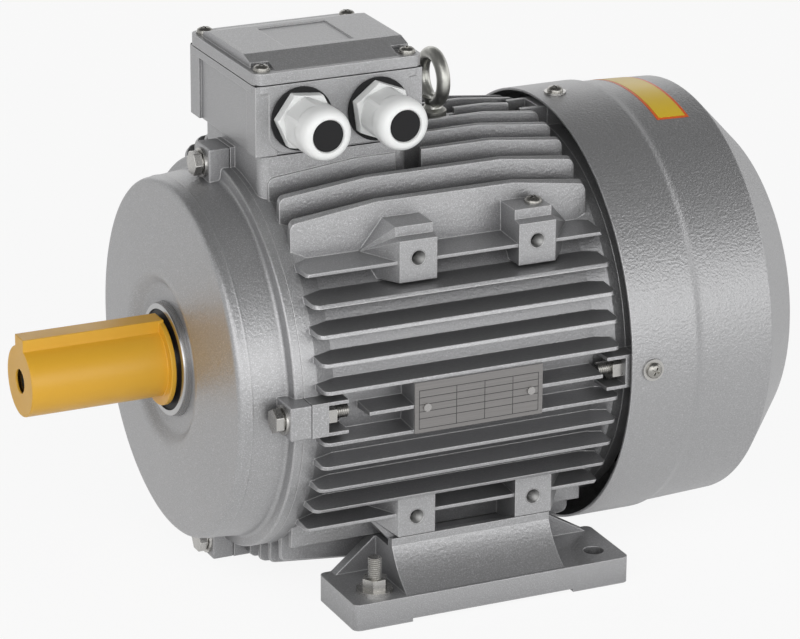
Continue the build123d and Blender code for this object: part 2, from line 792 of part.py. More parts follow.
# Feet: a base plate, a web that rises to the pad ledge, sloping ends and a hollow underside
def build_foot(side):
    """Foot for one side: -1 for the gland side, 1 for the far side."""
    base_centre = ((foot_front_x + foot_rear_x) / 2, side * (foot_inner_y + foot_outer_y) / 2)
    ridge_length = foot_ridge_rear_x - foot_ridge_front_x
    pocket_top = foot_seat_z - foot_bolt_grip
    with BuildPart() as foot:
        with BuildSketch() as base:
            with Locations(base_centre):
                Rectangle(foot_rear_x - foot_front_x, foot_outer_y - foot_inner_y)
            fillet(base.vertices(), 4)
        extrude(amount=foot_base_thickness)
        with BuildSketch(across(foot_ridge_front_x)):
            with BuildLine():
                Polyline(
                    (side * foot_inner_y, 1 - shaft_height),
                    (side * foot_inner_y, foot_seat_z - shaft_height),
                    (side * (pad_ledge_y + seat_gap), foot_seat_z - shaft_height),
                    (side * (pad_ledge_y + seat_gap), foot_ledge_z - shaft_height - seat_gap - 1),
                    (side * pad_face_y, foot_ledge_z - shaft_height - seat_gap),
                    (side * pad_face_y, foot_ledge_z - shaft_height - foot_ridge_height),
                )
                ThreePointArc(
                    (side * pad_face_y, foot_ledge_z - shaft_height - foot_ridge_height),
                    (side * (pad_face_y + 8), foot_ledge_z - shaft_height - foot_ridge_height - 12),
                    (side * foot_outer_y, foot_base_thickness - shaft_height - 1),
                )
                Polyline(
                    (side * foot_outer_y, foot_base_thickness - shaft_height - 1),
                    (side * foot_outer_y, 1 - shaft_height),
                    (side * foot_inner_y, 1 - shaft_height),
                )
            make_face()
        extrude(amount=ridge_length)
        with BuildSketch(towards(side * foot_inner_y)):
            with BuildLine():
                Polyline(
                    (foot_end_slope_front_x, foot_base_thickness - 1),
                    (foot_end_slope_front_x, foot_base_thickness),
                    (foot_ridge_front_x - 1, foot_seat_z),
                    (foot_ridge_rear_x + 1, foot_seat_z),
                    (foot_end_slope_rear_x, foot_base_thickness),
                    (foot_end_slope_rear_x, foot_base_thickness - 1),
                    close=True,
                )
            make_face()
        extrude(amount=-side * (foot_web_inner_y - foot_inner_y))
        with BuildSketch():
            with Locations((pad_centre_x, side * pad_seat_hole_y)):
                SlotCenterToCenter(pad_spacing_x, foot_pocket_width)
        extrude(amount=pocket_top, mode=Mode.SUBTRACT)
        with BuildSketch():
            with Locations(base_centre):
                Rectangle(2 * foot_relief_half_length, foot_outer_y - foot_inner_y + 1)
        extrude(amount=foot_relief, mode=Mode.SUBTRACT)
        with BuildSketch():
            with Locations((-foot_hole_x, side * foot_hole_y), (foot_hole_x, side * foot_hole_y)):
                Circle(foot_hole_d / 2)
        extrude(amount=foot_base_thickness, mode=Mode.SUBTRACT)
        with BuildSketch():
            with Locations(*[(x, side * pad_seat_hole_y) for x in pad_places_x]):
                Circle((foot_bolt_d + 1) / 2)
        extrude(amount=foot_seat_z, mode=Mode.SUBTRACT)
    return foot


near_foot = build_foot(-1)
finish_part(near_foot, "near_foot")
far_foot = build_foot(1)
finish_part(far_foot, "far_foot")
with BuildPart() as foot_bolts:
    for x in pad_places_x:
        for side in (-1, 1):
            seat = facing_up(x, side * pad_seat_hole_y, foot_seat_z - foot_bolt_grip)
            round_bar(seat, foot_bolt_head_d, -foot_bolt_head_height)
            round_bar(seat, foot_bolt_d, foot_bolt_grip)
            round_bar(seat, foot_bolt_core_d, foot_bolt_grip + foot_bolt_reach)
            with BuildSketch(seat.offset(-foot_bolt_head_height)):
                RegularPolygon(foot_bolt_socket / 2, 6, major_radius=False)
            extrude(amount=foot_bolt_head_height / 2, mode=Mode.SUBTRACT)
finish_part(foot_bolts, "foot_bolts")

# Earth stud that stands in the near front foot hole, with a nut and washer above the foot
with BuildPart() as earth_stud:
    round_bar(facing_up(-foot_hole_x, -foot_hole_y, foot_relief), earth_stud_d,
              earth_stud_top - foot_relief)
finish_part(earth_stud, "earth_stud")
with BuildPart() as earth_washer:
    washer(facing_up(-foot_hole_x, -foot_hole_y, foot_base_thickness), earth_washer_d,
           earth_stud_d + 2 * running_gap, earth_washer_thickness)
finish_part(earth_washer, "earth_washer")
with BuildPart() as earth_nut:
    hex_nut(facing_up(-foot_hole_x, -foot_hole_y, foot_base_thickness + earth_washer_thickness),
            hex_head_width, earth_nut_height, earth_stud_d + press_gap)
finish_part(earth_nut, "earth_nut")

# Lifting eye: a ring on a collar, screwed into the boss of the frame
with BuildPart() as eye_bolt:
    with BuildSketch(Plane.XZ) as section:
        with Locations((eye_x, eye_ring_z + eye_ring_d / 2)):
            RegularPolygon(eye_section_d / 2, 10)
    revolve(section.sketch, axis=Axis((eye_x, 0, eye_ring_z), (1, 0, 0)))
    with BuildSketch(Plane.XY.offset(eye_boss_z)) as collar:
        with Locations((eye_x, 0)):
            Circle(eye_collar_d / 2)
    extrude(amount=eye_collar_height)
    with BuildSketch(Plane.XY.offset(eye_boss_z + eye_collar_height)):
        with Locations((eye_x, 0)):
            Circle(eye_section_d / 2 + 1)
    extrude(amount=eye_ring_z - eye_ring_d / 2 - eye_boss_z - eye_collar_height)
    round_bar(facing_down(eye_x, 0, eye_boss_z), eye_thread_d, eye_thread_length)
finish_part(eye_bolt, "eye_bolt")

# Terminal box: collar, walls, corner columns, floor with the cable window
with BuildPart() as terminal_box:
    with BuildSketch(Plane.XY.offset(box_floor_z)) as walls:
        with Locations((box_centre_x, 0)):
            Rectangle(2 * box_half_length, 2 * box_half_width)
        fillet(walls.vertices(), box_corner_radius)
    extrude(amount=box_top_z - box_floor_z)
    with BuildSketch(Plane.XY.offset(box_top_z)) as collar:
        with Locations((box_centre_x, 0)):
            Rectangle(2 * box_collar_half_length, 2 * box_collar_half_width)
        fillet(collar.vertices(), box_corner_radius)
    extrude(amount=-box_collar_height)
    with BuildSketch(Plane.XY.offset(box_floor_z + box_wall)):
        with Locations((box_centre_x, 0)):
            Rectangle(2 * (box_half_length - box_wall), 2 * (box_half_width - box_wall))
    extrude(amount=box_top_z - box_floor_z - box_wall, mode=Mode.SUBTRACT)
    with BuildSketch(Plane.XY.offset(box_floor_z)):
        with Locations((box_centre_x, 0)):
            with GridLocations(2 * lid_screw_x, 2 * lid_screw_y, 2, 2):
                Rectangle(box_column_d, box_column_d)
    extrude(amount=box_top_z - box_floor_z)
    with BuildSketch(Plane.XY.offset(box_floor_z)):
        with Locations((box_centre_x, box_window_y)):
            Rectangle(box_window_length, box_window_width)
    extrude(amount=box_wall, mode=Mode.SUBTRACT)
    with BuildSketch(Plane.XY.offset(box_top_z)):
        with Locations((box_centre_x, 0)):
            with GridLocations(2 * lid_screw_x, 2 * lid_screw_y, 2, 2):
                Circle(lid_screw_d / 2 + running_gap)
    extrude(amount=-lid_screw_length, mode=Mode.SUBTRACT)
    # Raised panel under the glands, flush with the collar and rounded at its lower corners
    with BuildSketch(towards(-box_half_width)) as gland_panel:
        with Locations((box_centre_x, (box_floor_z + box_top_z) / 2)):
            Rectangle(2 * (box_half_length - gland_panel_margin), box_top_z - box_floor_z - 2)
        fillet(gland_panel.vertices().group_by(Axis.Y)[0], gland_panel_rounding)
    extrude(amount=gland_panel_height)
    for x in gland_places_x:
        round_bar(towards(gland_seat_y, x, gland_centre_z), gland_thread_d + 2 * running_gap,
                  -box_wall - gland_panel_height, mode=Mode.SUBTRACT)
        round_bar(towards(-box_half_width + box_wall, x, gland_centre_z), gland_nut_clearance_d,
                  -gland_nut_thickness - seat_gap, mode=Mode.SUBTRACT)
    for x, y in box_screw_places:
        round_bar(facing_up(x, y, box_floor_z), lid_screw_d + bolt_hole_gap, box_wall,
                  mode=Mode.SUBTRACT)
finish_part(terminal_box, "terminal_box")

with BuildPart() as box_gasket:
    with BuildSketch(Plane.XY.offset(box_floor_z - box_gasket_thickness)) as outline:
        with Locations((pedestal_centre_x, (pedestal_near_y + pedestal_far_y) / 2)):
            Rectangle(2 * pedestal_half_length - 1, pedestal_far_y - pedestal_near_y - 1)
        with Locations((box_centre_x, box_window_y)):
            Rectangle(box_window_length, box_window_width, mode=Mode.SUBTRACT)
        with Locations(*box_screw_places):
            Circle((lid_screw_d + bolt_hole_gap) / 2, mode=Mode.SUBTRACT)
    extrude(amount=box_gasket_thickness)
finish_part(box_gasket, "box_gasket")

with BuildPart() as lid_gasket:
    with BuildSketch(Plane.XY.offset(box_top_z)):
        with Locations((box_centre_x, 0)):
            Rectangle(2 * box_collar_half_length - 1.6, 2 * box_collar_half_width - 1.6)
            Rectangle(2 * (box_half_length - box_wall), 2 * (box_half_width - box_wall),
                      mode=Mode.SUBTRACT)
            with GridLocations(2 * lid_screw_x, 2 * lid_screw_y, 2, 2):
                Circle((lid_screw_d + bolt_hole_gap) / 2, mode=Mode.SUBTRACT)
    extrude(amount=lid_gasket_thickness)
finish_part(lid_gasket, "lid_gasket")

# Lid: flat rim, a crown that slopes to both long sides, a shallow panel and four screw pads
with BuildPart() as terminal_box_lid:
    with BuildSketch(Plane.XY.offset(lid_z)) as rim:
        with Locations((box_centre_x, 0)):
            Rectangle(2 * box_collar_half_length, 2 * box_collar_half_width)
        fillet(rim.vertices(), box_corner_radius)
    extrude(amount=lid_rim_height)
    with BuildSketch(Plane(origin=(box_centre_x - lid_crown_half_length, 0, lid_rim_z),
                           x_dir=(0, 1, 0), z_dir=(1, 0, 0))):
        with BuildLine():
            Polyline(
                (-lid_crown_half_width, 0),
                (-lid_plateau_half_width, lid_crown_height),
                (lid_plateau_half_width, lid_crown_height),
                (lid_crown_half_width, 0),
                close=True,
            )
        make_face()
    extrude(amount=2 * lid_crown_half_length)
    with BuildSketch(Plane.XY.offset(lid_rim_z)):
        with Locations((box_centre_x, 0)):
            with GridLocations(2 * lid_screw_x, 2 * lid_screw_y, 2, 2):
                Rectangle(lid_screw_pad_d, lid_screw_pad_d)
    extrude(amount=lid_crown_height, mode=Mode.SUBTRACT)
    with BuildSketch(Plane.XY.offset(lid_plateau_z)):
        with Locations((box_centre_x, 0)):
            Rectangle(lid_recess_length, lid_recess_width)
    extrude(amount=-lid_recess_depth, mode=Mode.SUBTRACT)
    with BuildSketch(Plane.XY.offset(lid_z)):
        with Locations((box_centre_x, 0)):
            Rectangle(2 * (lid_screw_x - lid_screw_pad_d / 2), 2 * (box_half_width - box_wall))
    extrude(amount=lid_rim_height - lid_wall, mode=Mode.SUBTRACT)
    with BuildSketch(Plane.XY.offset(lid_z)):
        with Locations((box_centre_x, 0)):
            with GridLocations(2 * lid_screw_x, 2 * lid_screw_y, 2, 2):
                Circle((lid_screw_d + bolt_hole_gap) / 2)
    extrude(amount=lid_rim_height, mode=Mode.SUBTRACT)
finish_part(terminal_box_lid, "terminal_box_lid")

with BuildPart() as lid_screws:
    for x in (box_centre_x - lid_screw_x, box_centre_x + lid_screw_x):
        for y in (-lid_screw_y, lid_screw_y):
            pan_screw(facing_up(x, y, lid_rim_z), lid_screw_head_d, lid_screw_head_height,
                      lid_screw_d, lid_screw_length)
finish_part(lid_screws, "lid_screws")

# Two cable glands: seal, body with its hexagon, cap, blanking plug and inner nut
gland_hex_y = gland_seat_y - gland_seal_thickness
gland_cap_y = gland_hex_y - gland_hex_height - gland_neck_length
gland_face_y = gland_cap_y - gland_cap_length
gland_inner_y = -box_half_width + box_wall + gland_nut_thickness + 1
gland_body_length = gland_inner_y - gland_cap_y + gland_cap_grip
with BuildPart() as gland_seals:
    for x in gland_places_x:
        washer(towards(gland_seat_y, x, gland_centre_z), gland_seal_d,
               gland_thread_d + 2 * running_gap, gland_seal_thickness)
finish_part(gland_seals, "gland_seals")
with BuildPart() as gland_bodies:
    for x, turn in zip(gland_places_x, gland_hex_turns):
        with BuildSketch(towards(gland_hex_y, x, gland_centre_z)):
            RegularPolygon(gland_hex_width / 2, 6, major_radius=False, rotation=30 + turn)
        extrude(amount=gland_hex_height)
        round_bar(towards(gland_hex_y, x, gland_centre_z), gland_neck_d, gland_hex_y - gland_cap_y)
        round_bar(towards(gland_inner_y, x, gland_centre_z), gland_thread_d, gland_body_length)
        round_bar(towards(gland_inner_y, x, gland_centre_z), gland_mouth_d, gland_body_length,
                  mode=Mode.SUBTRACT)
finish_part(gland_bodies, "gland_bodies")
with BuildPart() as gland_caps:
    for x in gland_places_x:
        round_bar(towards(gland_face_y + gland_cap_dome, x, gland_centre_z), gland_cap_d,
                  gland_cap_dome)
    fillet(gland_caps.edges().group_by(Axis.Y)[0], gland_cap_rounding)
    chamfer(gland_caps.edges().group_by(Axis.Y)[-1], length=(gland_cap_d - gland_cap_hex_width) / 2)
    for x, turn in zip(gland_places_x, gland_hex_turns):
        with BuildSketch(towards(gland_cap_y, x, gland_centre_z)):
            RegularPolygon(gland_cap_hex_width / 2, 6, major_radius=False, rotation=30 + turn)
            Circle(gland_cap_d / 2, mode=Mode.INTERSECT)
        extrude(amount=gland_cap_length - gland_cap_dome + 1)
    for x in gland_places_x:
        round_bar(towards(gland_cap_y, x, gland_centre_z), gland_thread_d + 2 * press_gap,
                  gland_cap_grip + seat_gap, mode=Mode.SUBTRACT)
        round_bar(towards(gland_cap_y, x, gland_centre_z), gland_mouth_d, gland_cap_length,
                  mode=Mode.SUBTRACT)
finish_part(gland_caps, "gland_caps")
with BuildPart() as gland_plugs:
    for x in gland_places_x:
        round_bar(towards(gland_face_y + gland_plug_recess, x, gland_centre_z),
                  gland_mouth_d - 2 * press_gap, -gland_plug_length)
finish_part(gland_plugs, "gland_plugs")
with BuildPart() as gland_locknuts:
    for x in gland_places_x:
        hex_nut(towards(-box_half_width + box_wall, x, gland_centre_z), gland_nut_width,
                -gland_nut_thickness, gland_thread_d + 2 * press_gap)
finish_part(gland_locknuts, "gland_locknuts")

# Inside of the terminal box: fixing screws, terminal block with six studs, links and earth screw
block_top_z = box_floor_z + box_wall + block_height
stud_rows_y = [block_y - stud_row_spacing / 2, block_y + stud_row_spacing / 2]
stud_columns_x = [box_centre_x - stud_pitch, box_centre_x, box_centre_x + stud_pitch]
with BuildPart() as box_screws:
    for x, y in box_screw_places:
        pan_screw(facing_up(x, y, box_floor_z + box_wall), lid_screw_head_d, lid_screw_head_height,
                  lid_screw_d, box_screw_length)
finish_part(box_screws, "box_screws")
with BuildPart() as terminal_block:
    with BuildSketch(Plane.XY.offset(box_floor_z + box_wall)):
        with Locations((box_centre_x, block_y)):
            Rectangle(block_length, block_width)
    extrude(amount=block_height)
    with BuildSketch(Plane.XY.offset(block_top_z)):
        with Locations((box_centre_x, block_y)):
            with GridLocations(stud_pitch, 0, 2, 1):
                Rectangle(block_rib, block_width)
    extrude(amount=block_rib_height)
    for x in stud_columns_x:
        for y in stud_rows_y:
            round_bar(facing_up(x, y, block_top_z), stud_d + 2 * press_gap, -stud_root,
                      mode=Mode.SUBTRACT)
finish_part(terminal_block, "terminal_block")
with BuildPart() as terminal_studs:
    for x in stud_columns_x:
        for y in stud_rows_y:
            round_bar(facing_up(x, y, block_top_z - stud_root), stud_d, stud_root + stud_height)
finish_part(terminal_studs, "terminal_studs")
with BuildPart() as terminal_links:
    with BuildSketch(Plane.XY.offset(block_top_z)):
        for x in stud_columns_x:
            with Locations((x, block_y)):
                Rectangle(link_width, stud_row_spacing + link_width)
            with Locations(*[(x, y) for y in stud_rows_y]):
                Circle((stud_d + bolt_hole_gap) / 2, mode=Mode.SUBTRACT)
    extrude(amount=link_thickness)
finish_part(terminal_links, "terminal_links")
with BuildPart() as terminal_nuts:
    for x in stud_columns_x:
        for y in stud_rows_y:
            hex_nut(facing_up(x, y, block_top_z + link_thickness), stud_nut_width, stud_nut_height,
                    stud_d + 2 * press_gap)
finish_part(terminal_nuts, "terminal_nuts")

# Nameplate on its land, held by two rivets
with BuildPart() as nameplate:
    with BuildSketch(towards(-fin_tip_r, plate_centre_x, plate_centre_z)):
        Rectangle(plate_length, plate_height)
        with GridLocations(plate_rivet_spacing, 0, 2, 1):
            Circle(plate_pin_d / 2 + press_gap, mode=Mode.SUBTRACT)
    extrude(amount=plate_thickness)
finish_part(nameplate, "nameplate")
with BuildPart() as nameplate_rivets:
    for side in (-1, 1):
        x = plate_centre_x + side * plate_rivet_spacing / 2
        pan_screw(towards(-fin_tip_r - plate_thickness, x, plate_centre_z), plate_rivet_d,
                  plate_rivet_height, plate_pin_d, plate_pin_length)
finish_part(nameplate_rivets, "nameplate_rivets")
with BuildPart() as pad_screw:
    pan_screw(facing_up(pad_screw_x, pad_screw_y, shaft_height + pad_seat_height),
              pad_screw_head_d, pad_screw_head_height, pad_screw_d, pad_screw_length)
finish_part(pad_screw, "pad_screw")

# Fan cover: a rolled front rim, a long shell, a conical rear edge and a ring grille
with BuildPart() as fan_cover:
    turned([
        (cover_front, cover_rim_d / 2),
        (cover_step_x, cover_rim_d / 2),
        (cover_step_x + cover_step_length, cover_body_d / 2),
        (cover_shoulder_x, cover_shoulder_d / 2),
        (cover_crown_x, cover_crown_d / 2),
        (cover_rear, cover_face_d / 2),
        (cover_rear, 0),
        (cover_rear - cover_wall, 0),
        (cover_rear - cover_wall, cover_face_d / 2 - cover_wall / 2),
        (cover_crown_x - cover_wall, cover_crown_d / 2 - cover_wall / 2),
        (cover_shoulder_x - cover_wall / 2, cover_shoulder_d / 2 - cover_wall),
        (cover_step_x + cover_step_length - cover_wall / 2, cover_body_d / 2 - cover_wall),
        (cover_step_x - cover_wall / 2, cover_inner_d / 2),
        (cover_front, cover_inner_d / 2),
    ])
    with BuildSketch(across(cover_rear)):
        for place in reversed(range(grille_rings)):
            slot_d = grille_first_d + 2 * place * grille_ring_pitch
            Circle((slot_d + grille_slot_width) / 2)
            Circle((slot_d - grille_slot_width) / 2, mode=Mode.SUBTRACT)
        with PolarLocations(0, grille_spokes):
            Rectangle(cover_face_d, grille_spoke_width, mode=Mode.SUBTRACT)
    extrude(amount=-2 * cover_wall, mode=Mode.SUBTRACT)
    for turn in cover_screw_turns:
        round_bar(outward(cover_screw_x, cover_rim_d / 2 + cover_wall, turn),
                  cover_screw_d + bolt_hole_gap, -3 * cover_wall, mode=Mode.SUBTRACT)
finish_part(fan_cover, "fan_cover")
with BuildPart() as cover_washers:
    for turn in cover_screw_turns:
        washer(outward(cover_screw_x, cover_rim_d / 2, turn), cover_washer_d,
               cover_screw_d + bolt_hole_gap, cover_washer_thickness)
finish_part(cover_washers, "cover_washers")
with BuildPart() as cover_screws:
    for turn in cover_screw_turns:
        pan_screw(outward(cover_screw_x, cover_rim_d / 2 + cover_washer_thickness, turn),
                  cover_screw_head_d, cover_screw_head_height, cover_screw_d, cover_screw_length)
finish_part(cover_screws, "cover_screws")

# Stepped shaft with its keyway, tapped centre and circlip groove
bearing_seat_d = bearing_bore_d - 2 * press_gap
key_centre_x = shaft_end_x + key_end_gap + key_length / 2
keyway_z = shaft_height + shaft_d / 2 - keyway_depth
circlip_x = fan_plate_x + fan_hub_length
with BuildPart() as shaft:
    turned([
        (shaft_end_x, 0),
        (shaft_end_x, shaft_d / 2 - shaft_chamfer),
        (shaft_end_x + shaft_chamfer, shaft_d / 2),
        (shoulder_x, shaft_d / 2),
        (shoulder_x, bearing_seat_d / 2),
        (drive_bearing_x + bearing_width, bearing_seat_d / 2),
        (drive_bearing_x + bearing_width, shoulder_d / 2),
        (core_front, shoulder_d / 2),
        (core_front, core_seat_d / 2),
        (core_rear, core_seat_d / 2),
        (core_rear, shoulder_d / 2),
        (rear_bearing_x, shoulder_d / 2),
        (rear_bearing_x, bearing_seat_d / 2),
        (bearing_seat_end_x, bearing_seat_d / 2),
        (bearing_seat_end_x, fan_seat_d / 2),
        (shaft_rear, fan_seat_d / 2),
        (shaft_rear, 0),
    ])
    with BuildSketch(Plane.XY.offset(keyway_z)):
        with Locations((key_centre_x, 0)):
            SlotOverall(key_length + 2 * press_gap, key_width + 2 * press_gap)
    extrude(amount=key_height, mode=Mode.SUBTRACT)
    round_bar(across(shaft_end_x), shaft_thread_core_d, shaft_thread_depth, mode=Mode.SUBTRACT)
    ring(circlip_x, circlip_thickness + running_gap, fan_seat_d + 1, fan_seat_d - 2 * circlip_groove,
         mode=Mode.SUBTRACT)
finish_part(shaft, "shaft")
with BuildPart() as shaft_key:
    with BuildSketch(Plane.XY.offset(keyway_z)):
        with Locations((key_centre_x, 0)):
            SlotOverall(key_length, key_width)
    extrude(amount=key_height)
finish_part(shaft_key, "shaft_key")

# Rotor and stator cores with their end rings and winding overhangs
rotor_d = stator_bore_d - 2 * air_gap
with BuildPart() as rotor_core:
    ring(core_front, core_rear - core_front, rotor_d, core_seat_d + 2 * press_gap)
finish_part(rotor_core, "rotor_core")
with BuildPart() as rotor_end_rings:
    ring(core_front, -rotor_ring_length, rotor_ring_d, rotor_ring_bore_d)
    ring(core_rear, rotor_ring_length, rotor_ring_d, rotor_ring_bore_d)
finish_part(rotor_end_rings, "rotor_end_rings")
with BuildPart() as stator_core:
    ring(core_front, core_rear - core_front, spigot_d, stator_bore_d)
finish_part(stator_core, "stator_core")
for name, start, way in (("drive_end_winding", core_front, -1), ("rear_winding", core_rear, 1)):
    end = start + way * winding_overhang
    with BuildPart() as winding:
        turned([
            (start, winding_inner_d / 2),
            (end, winding_inner_d / 2 + winding_rounding / 2),
            (end, winding_outer_d / 2 - winding_rounding),
            (end - way * winding_rounding, winding_outer_d / 2),
            (start, winding_outer_d / 2),
        ])
    finish_part(winding, name)

# Two sealed ball bearings: the outer half with its seals, and the inner ring that turns
race_d = bearing_bore_d + 2 * bearing_race
for name, start in (("drive_end_bearing", drive_bearing_x), ("rear_bearing", rear_bearing_x)):
    with BuildPart() as bearing_outer:
        ring(start, bearing_width, bearing_outer_d, race_d + 2 * seat_gap)
    finish_part(bearing_outer, name + "_outer")
    with BuildPart() as bearing_inner:
        ring(start, bearing_width, race_d, bearing_bore_d)
    finish_part(bearing_inner, name + "_inner_ring")
with BuildPart() as preload_spring:
    ring(rear_bearing_x + bearing_width, rear_stop_x - rear_bearing_x - bearing_width,
         bearing_outer_d - 2 * running_gap, spring_inner_d)
finish_part(preload_spring, "preload_spring")
with BuildPart() as drive_shaft_seal:
    ring(seal_face_x, seal_width, seal_outer_d - 2 * press_gap, bearing_seat_d + 2 * running_gap)
finish_part(drive_shaft_seal, "drive_shaft_seal")
with BuildPart() as rear_shaft_seal:
    ring(rear_hub_x + seat_gap, rear_seal_length, rear_bore_d, fan_seat_d + 2 * press_gap)
finish_part(rear_shaft_seal, "rear_shaft_seal")

# Fan with straight blades, held on the shaft by a circlip
with BuildPart() as fan:
    ring(fan_plate_x, fan_hub_length, fan_hub_d, fan_seat_d + 2 * press_gap)
    ring(fan_plate_x, fan_plate_thickness, fan_d, fan_hub_d - 2)
    with BuildSketch(across(fan_plate_x + fan_plate_thickness / 2)):
        with PolarLocations((fan_blade_inner_d + fan_d) / 4, fan_blade_count):
            Rectangle((fan_d - fan_blade_inner_d) / 2, fan_blade_thickness)
    extrude(amount=fan_blade_width)
finish_part(fan, "fan")
with BuildPart() as fan_circlip:
    ring(circlip_x, circlip_thickness, circlip_d, fan_seat_d - 2 * circlip_groove + 2 * press_gap)
    with BuildSketch(across(circlip_x)):
        with Locations((0, -circlip_d / 4)):
            Rectangle(circlip_gap, circlip_d / 2)
    extrude(amount=circlip_thickness, mode=Mode.SUBTRACT)
finish_part(fan_circlip, "fan_circlip")

# Sleeve with a raised channel over the key, a flange at the shoulder and a hole in the end
sleeve_inner_d = sleeve_outer_d - 2 * sleeve_wall
sleeve_length = sleeve_flange_x - sleeve_end_x
with BuildPart() as shaft_sleeve:
    with BuildSketch(across(sleeve_end_x)):
        Circle(sleeve_outer_d / 2)
        with Locations((0, sleeve_ridge_height / 2)):
            Rectangle(sleeve_ridge_width, sleeve_ridge_height)
    extrude(amount=sleeve_length)
    round_bar(across(sleeve_flange_x), sleeve_flange_d, -sleeve_flange_length)
    with BuildSketch(across(sleeve_end_x + sleeve_wall)):
        Circle(sleeve_inner_d / 2)
        with Locations((0, sleeve_ridge_height / 2 - sleeve_wall)):
            Rectangle(sleeve_ridge_width - 2 * sleeve_wall, sleeve_ridge_height)
    extrude(amount=sleeve_length, mode=Mode.SUBTRACT)
    round_bar(across(shoulder_x - seat_gap), bearing_bore_d + 2 * seat_gap, sleeve_length,
              mode=Mode.SUBTRACT)
    round_bar(across(sleeve_end_x), sleeve_hole_d, 2 * sleeve_wall, mode=Mode.SUBTRACT)
finish_part(shaft_sleeve, "shaft_sleeve")
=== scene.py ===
import json
import math

import bmesh
import bpy
from mathutils import Matrix, Vector


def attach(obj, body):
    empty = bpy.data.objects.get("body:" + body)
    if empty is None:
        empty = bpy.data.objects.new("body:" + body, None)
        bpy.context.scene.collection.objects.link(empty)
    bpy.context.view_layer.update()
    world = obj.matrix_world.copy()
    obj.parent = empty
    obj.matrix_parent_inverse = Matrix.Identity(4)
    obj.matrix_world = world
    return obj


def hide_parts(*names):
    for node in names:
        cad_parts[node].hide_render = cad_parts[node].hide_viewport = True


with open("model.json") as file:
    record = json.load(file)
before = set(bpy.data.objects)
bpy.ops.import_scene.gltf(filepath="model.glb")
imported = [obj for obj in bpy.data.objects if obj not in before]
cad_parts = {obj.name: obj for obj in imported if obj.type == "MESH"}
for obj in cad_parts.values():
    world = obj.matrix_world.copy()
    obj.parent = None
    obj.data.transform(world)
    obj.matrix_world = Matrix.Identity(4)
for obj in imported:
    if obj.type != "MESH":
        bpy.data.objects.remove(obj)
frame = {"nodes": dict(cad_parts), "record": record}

# Lengths are in metres, in the motor's own frame: the shaft runs along X at SHAFT_Z
MM = 0.001
SHAFT_Z = 0.132
SHAFT_CENTRE = Vector((0, 0, SHAFT_Z))
ALONG_SHAFT = Vector((1, 0, 0))
UPWARD = Vector((0, 0, 1))
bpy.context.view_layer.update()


# Camera

def set_camera():
    """Long lens from the gland side, a little above the motor."""
    azimuth = math.radians(-24.884)
    elevation = math.radians(19.974)
    roll = math.radians(0.313)
    distance = 2.42482
    aim_height = 0.140
    shift_right = 0.004518
    shift_up = 0.006104
    back = Vector((math.sin(azimuth) * math.cos(elevation), -math.cos(azimuth) * math.cos(elevation),
                   math.sin(elevation)))
    level = Vector((math.cos(azimuth), math.sin(azimuth), 0))
    upright = back.cross(level)
    right = level * math.cos(roll) + upright * math.sin(roll)
    up = upright * math.cos(roll) - level * math.sin(roll)
    eye = Vector((0, 0, aim_height)) + back * distance - right * shift_right - up * shift_up
    data = bpy.data.cameras.new("photo_camera")
    data.sensor_fit = "HORIZONTAL"
    data.sensor_width = 36
    data.lens = 185.56
    data.clip_end = 50
    camera = bpy.data.objects.new("photo_camera", data)
    camera.matrix_world = Matrix((
        (right.x, up.x, back.x, eye.x),
        (right.y, up.y, back.y, eye.y),
        (right.z, up.z, back.z, eye.z),
        (0, 0, 0, 1),
    ))
    bpy.context.collection.objects.link(camera)
    bpy.context.scene.camera = camera


# Shader groups shared by several finishes

def shader_group(name, inputs, outputs):
    """Empty shader group with named sockets, given as (name, type, default)."""
    group = bpy.data.node_groups.new(name, "ShaderNodeTree")
    for label, kind, default in inputs:
        socket = group.interface.new_socket(label, in_out="INPUT", socket_type=kind)
        socket.default_value = default
    for label, kind in outputs:
        group.interface.new_socket(label, in_out="OUTPUT", socket_type=kind)
    entry = group.nodes.new("NodeGroupInput")
    leave = group.nodes.new("NodeGroupOutput")
    return group, entry, leave


def node(tree, kind, **settings):
    """Adds a node and sets its properties."""
    made = tree.nodes.new(kind)
    for key, value in settings.items():
        setattr(made, key, value)
    return made


def maths(tree, operation, first, second):
    """Math node whose inputs are sockets or plain numbers."""
    made = node(tree, "ShaderNodeMath", operation=operation)
    for index, value in enumerate((first, second)):
        if isinstance(value, (int, float)):
            made.inputs[index].default_value = value
        else:
            tree.links.new(value, made.inputs[index])
    return made.outputs[0]


def make_painted_edge_highlight():
    """Mask for a painted highlight: bright along outer edges, broken up by noise."""
    group, entry, leave = shader_group(
        "painted_edge_highlight",
        [("Width", "NodeSocketFloat", 0.0006), ("Breakup", "NodeSocketFloat", 300.0)],
        [("Mask", "NodeSocketFloat")])
    bend_gain = 6.0
    mask_gain = 1.6
    rounded = node(group, "ShaderNodeBevel", samples=6)
    flat = node(group, "ShaderNodeNewGeometry")
    across = node(group, "ShaderNodeVectorMath", operation="DOT_PRODUCT")
    place = node(group, "ShaderNodeTexCoord")
    noise = node(group, "ShaderNodeTexNoise")
    noise.inputs["Detail"].default_value = 2
    group.links.new(entry.outputs["Width"], rounded.inputs["Radius"])
    group.links.new(rounded.outputs[0], across.inputs[0])
    group.links.new(flat.outputs["Normal"], across.inputs[1])
    group.links.new(place.outputs["Object"], noise.inputs["Vector"])
    group.links.new(entry.outputs["Breakup"], noise.inputs["Scale"])
    bent = maths(group, "SUBTRACT", 1.0, across.outputs["Value"])
    raised = maths(group, "MULTIPLY", bent, bend_gain)
    broken = maths(group, "MULTIPLY", raised, noise.outputs["Fac"])
    clipped = node(group, "ShaderNodeClamp")
    group.links.new(maths(group, "MULTIPLY", broken, mask_gain), clipped.inputs["Value"])
    group.links.new(clipped.outputs[0], leave.inputs["Mask"])
    return group


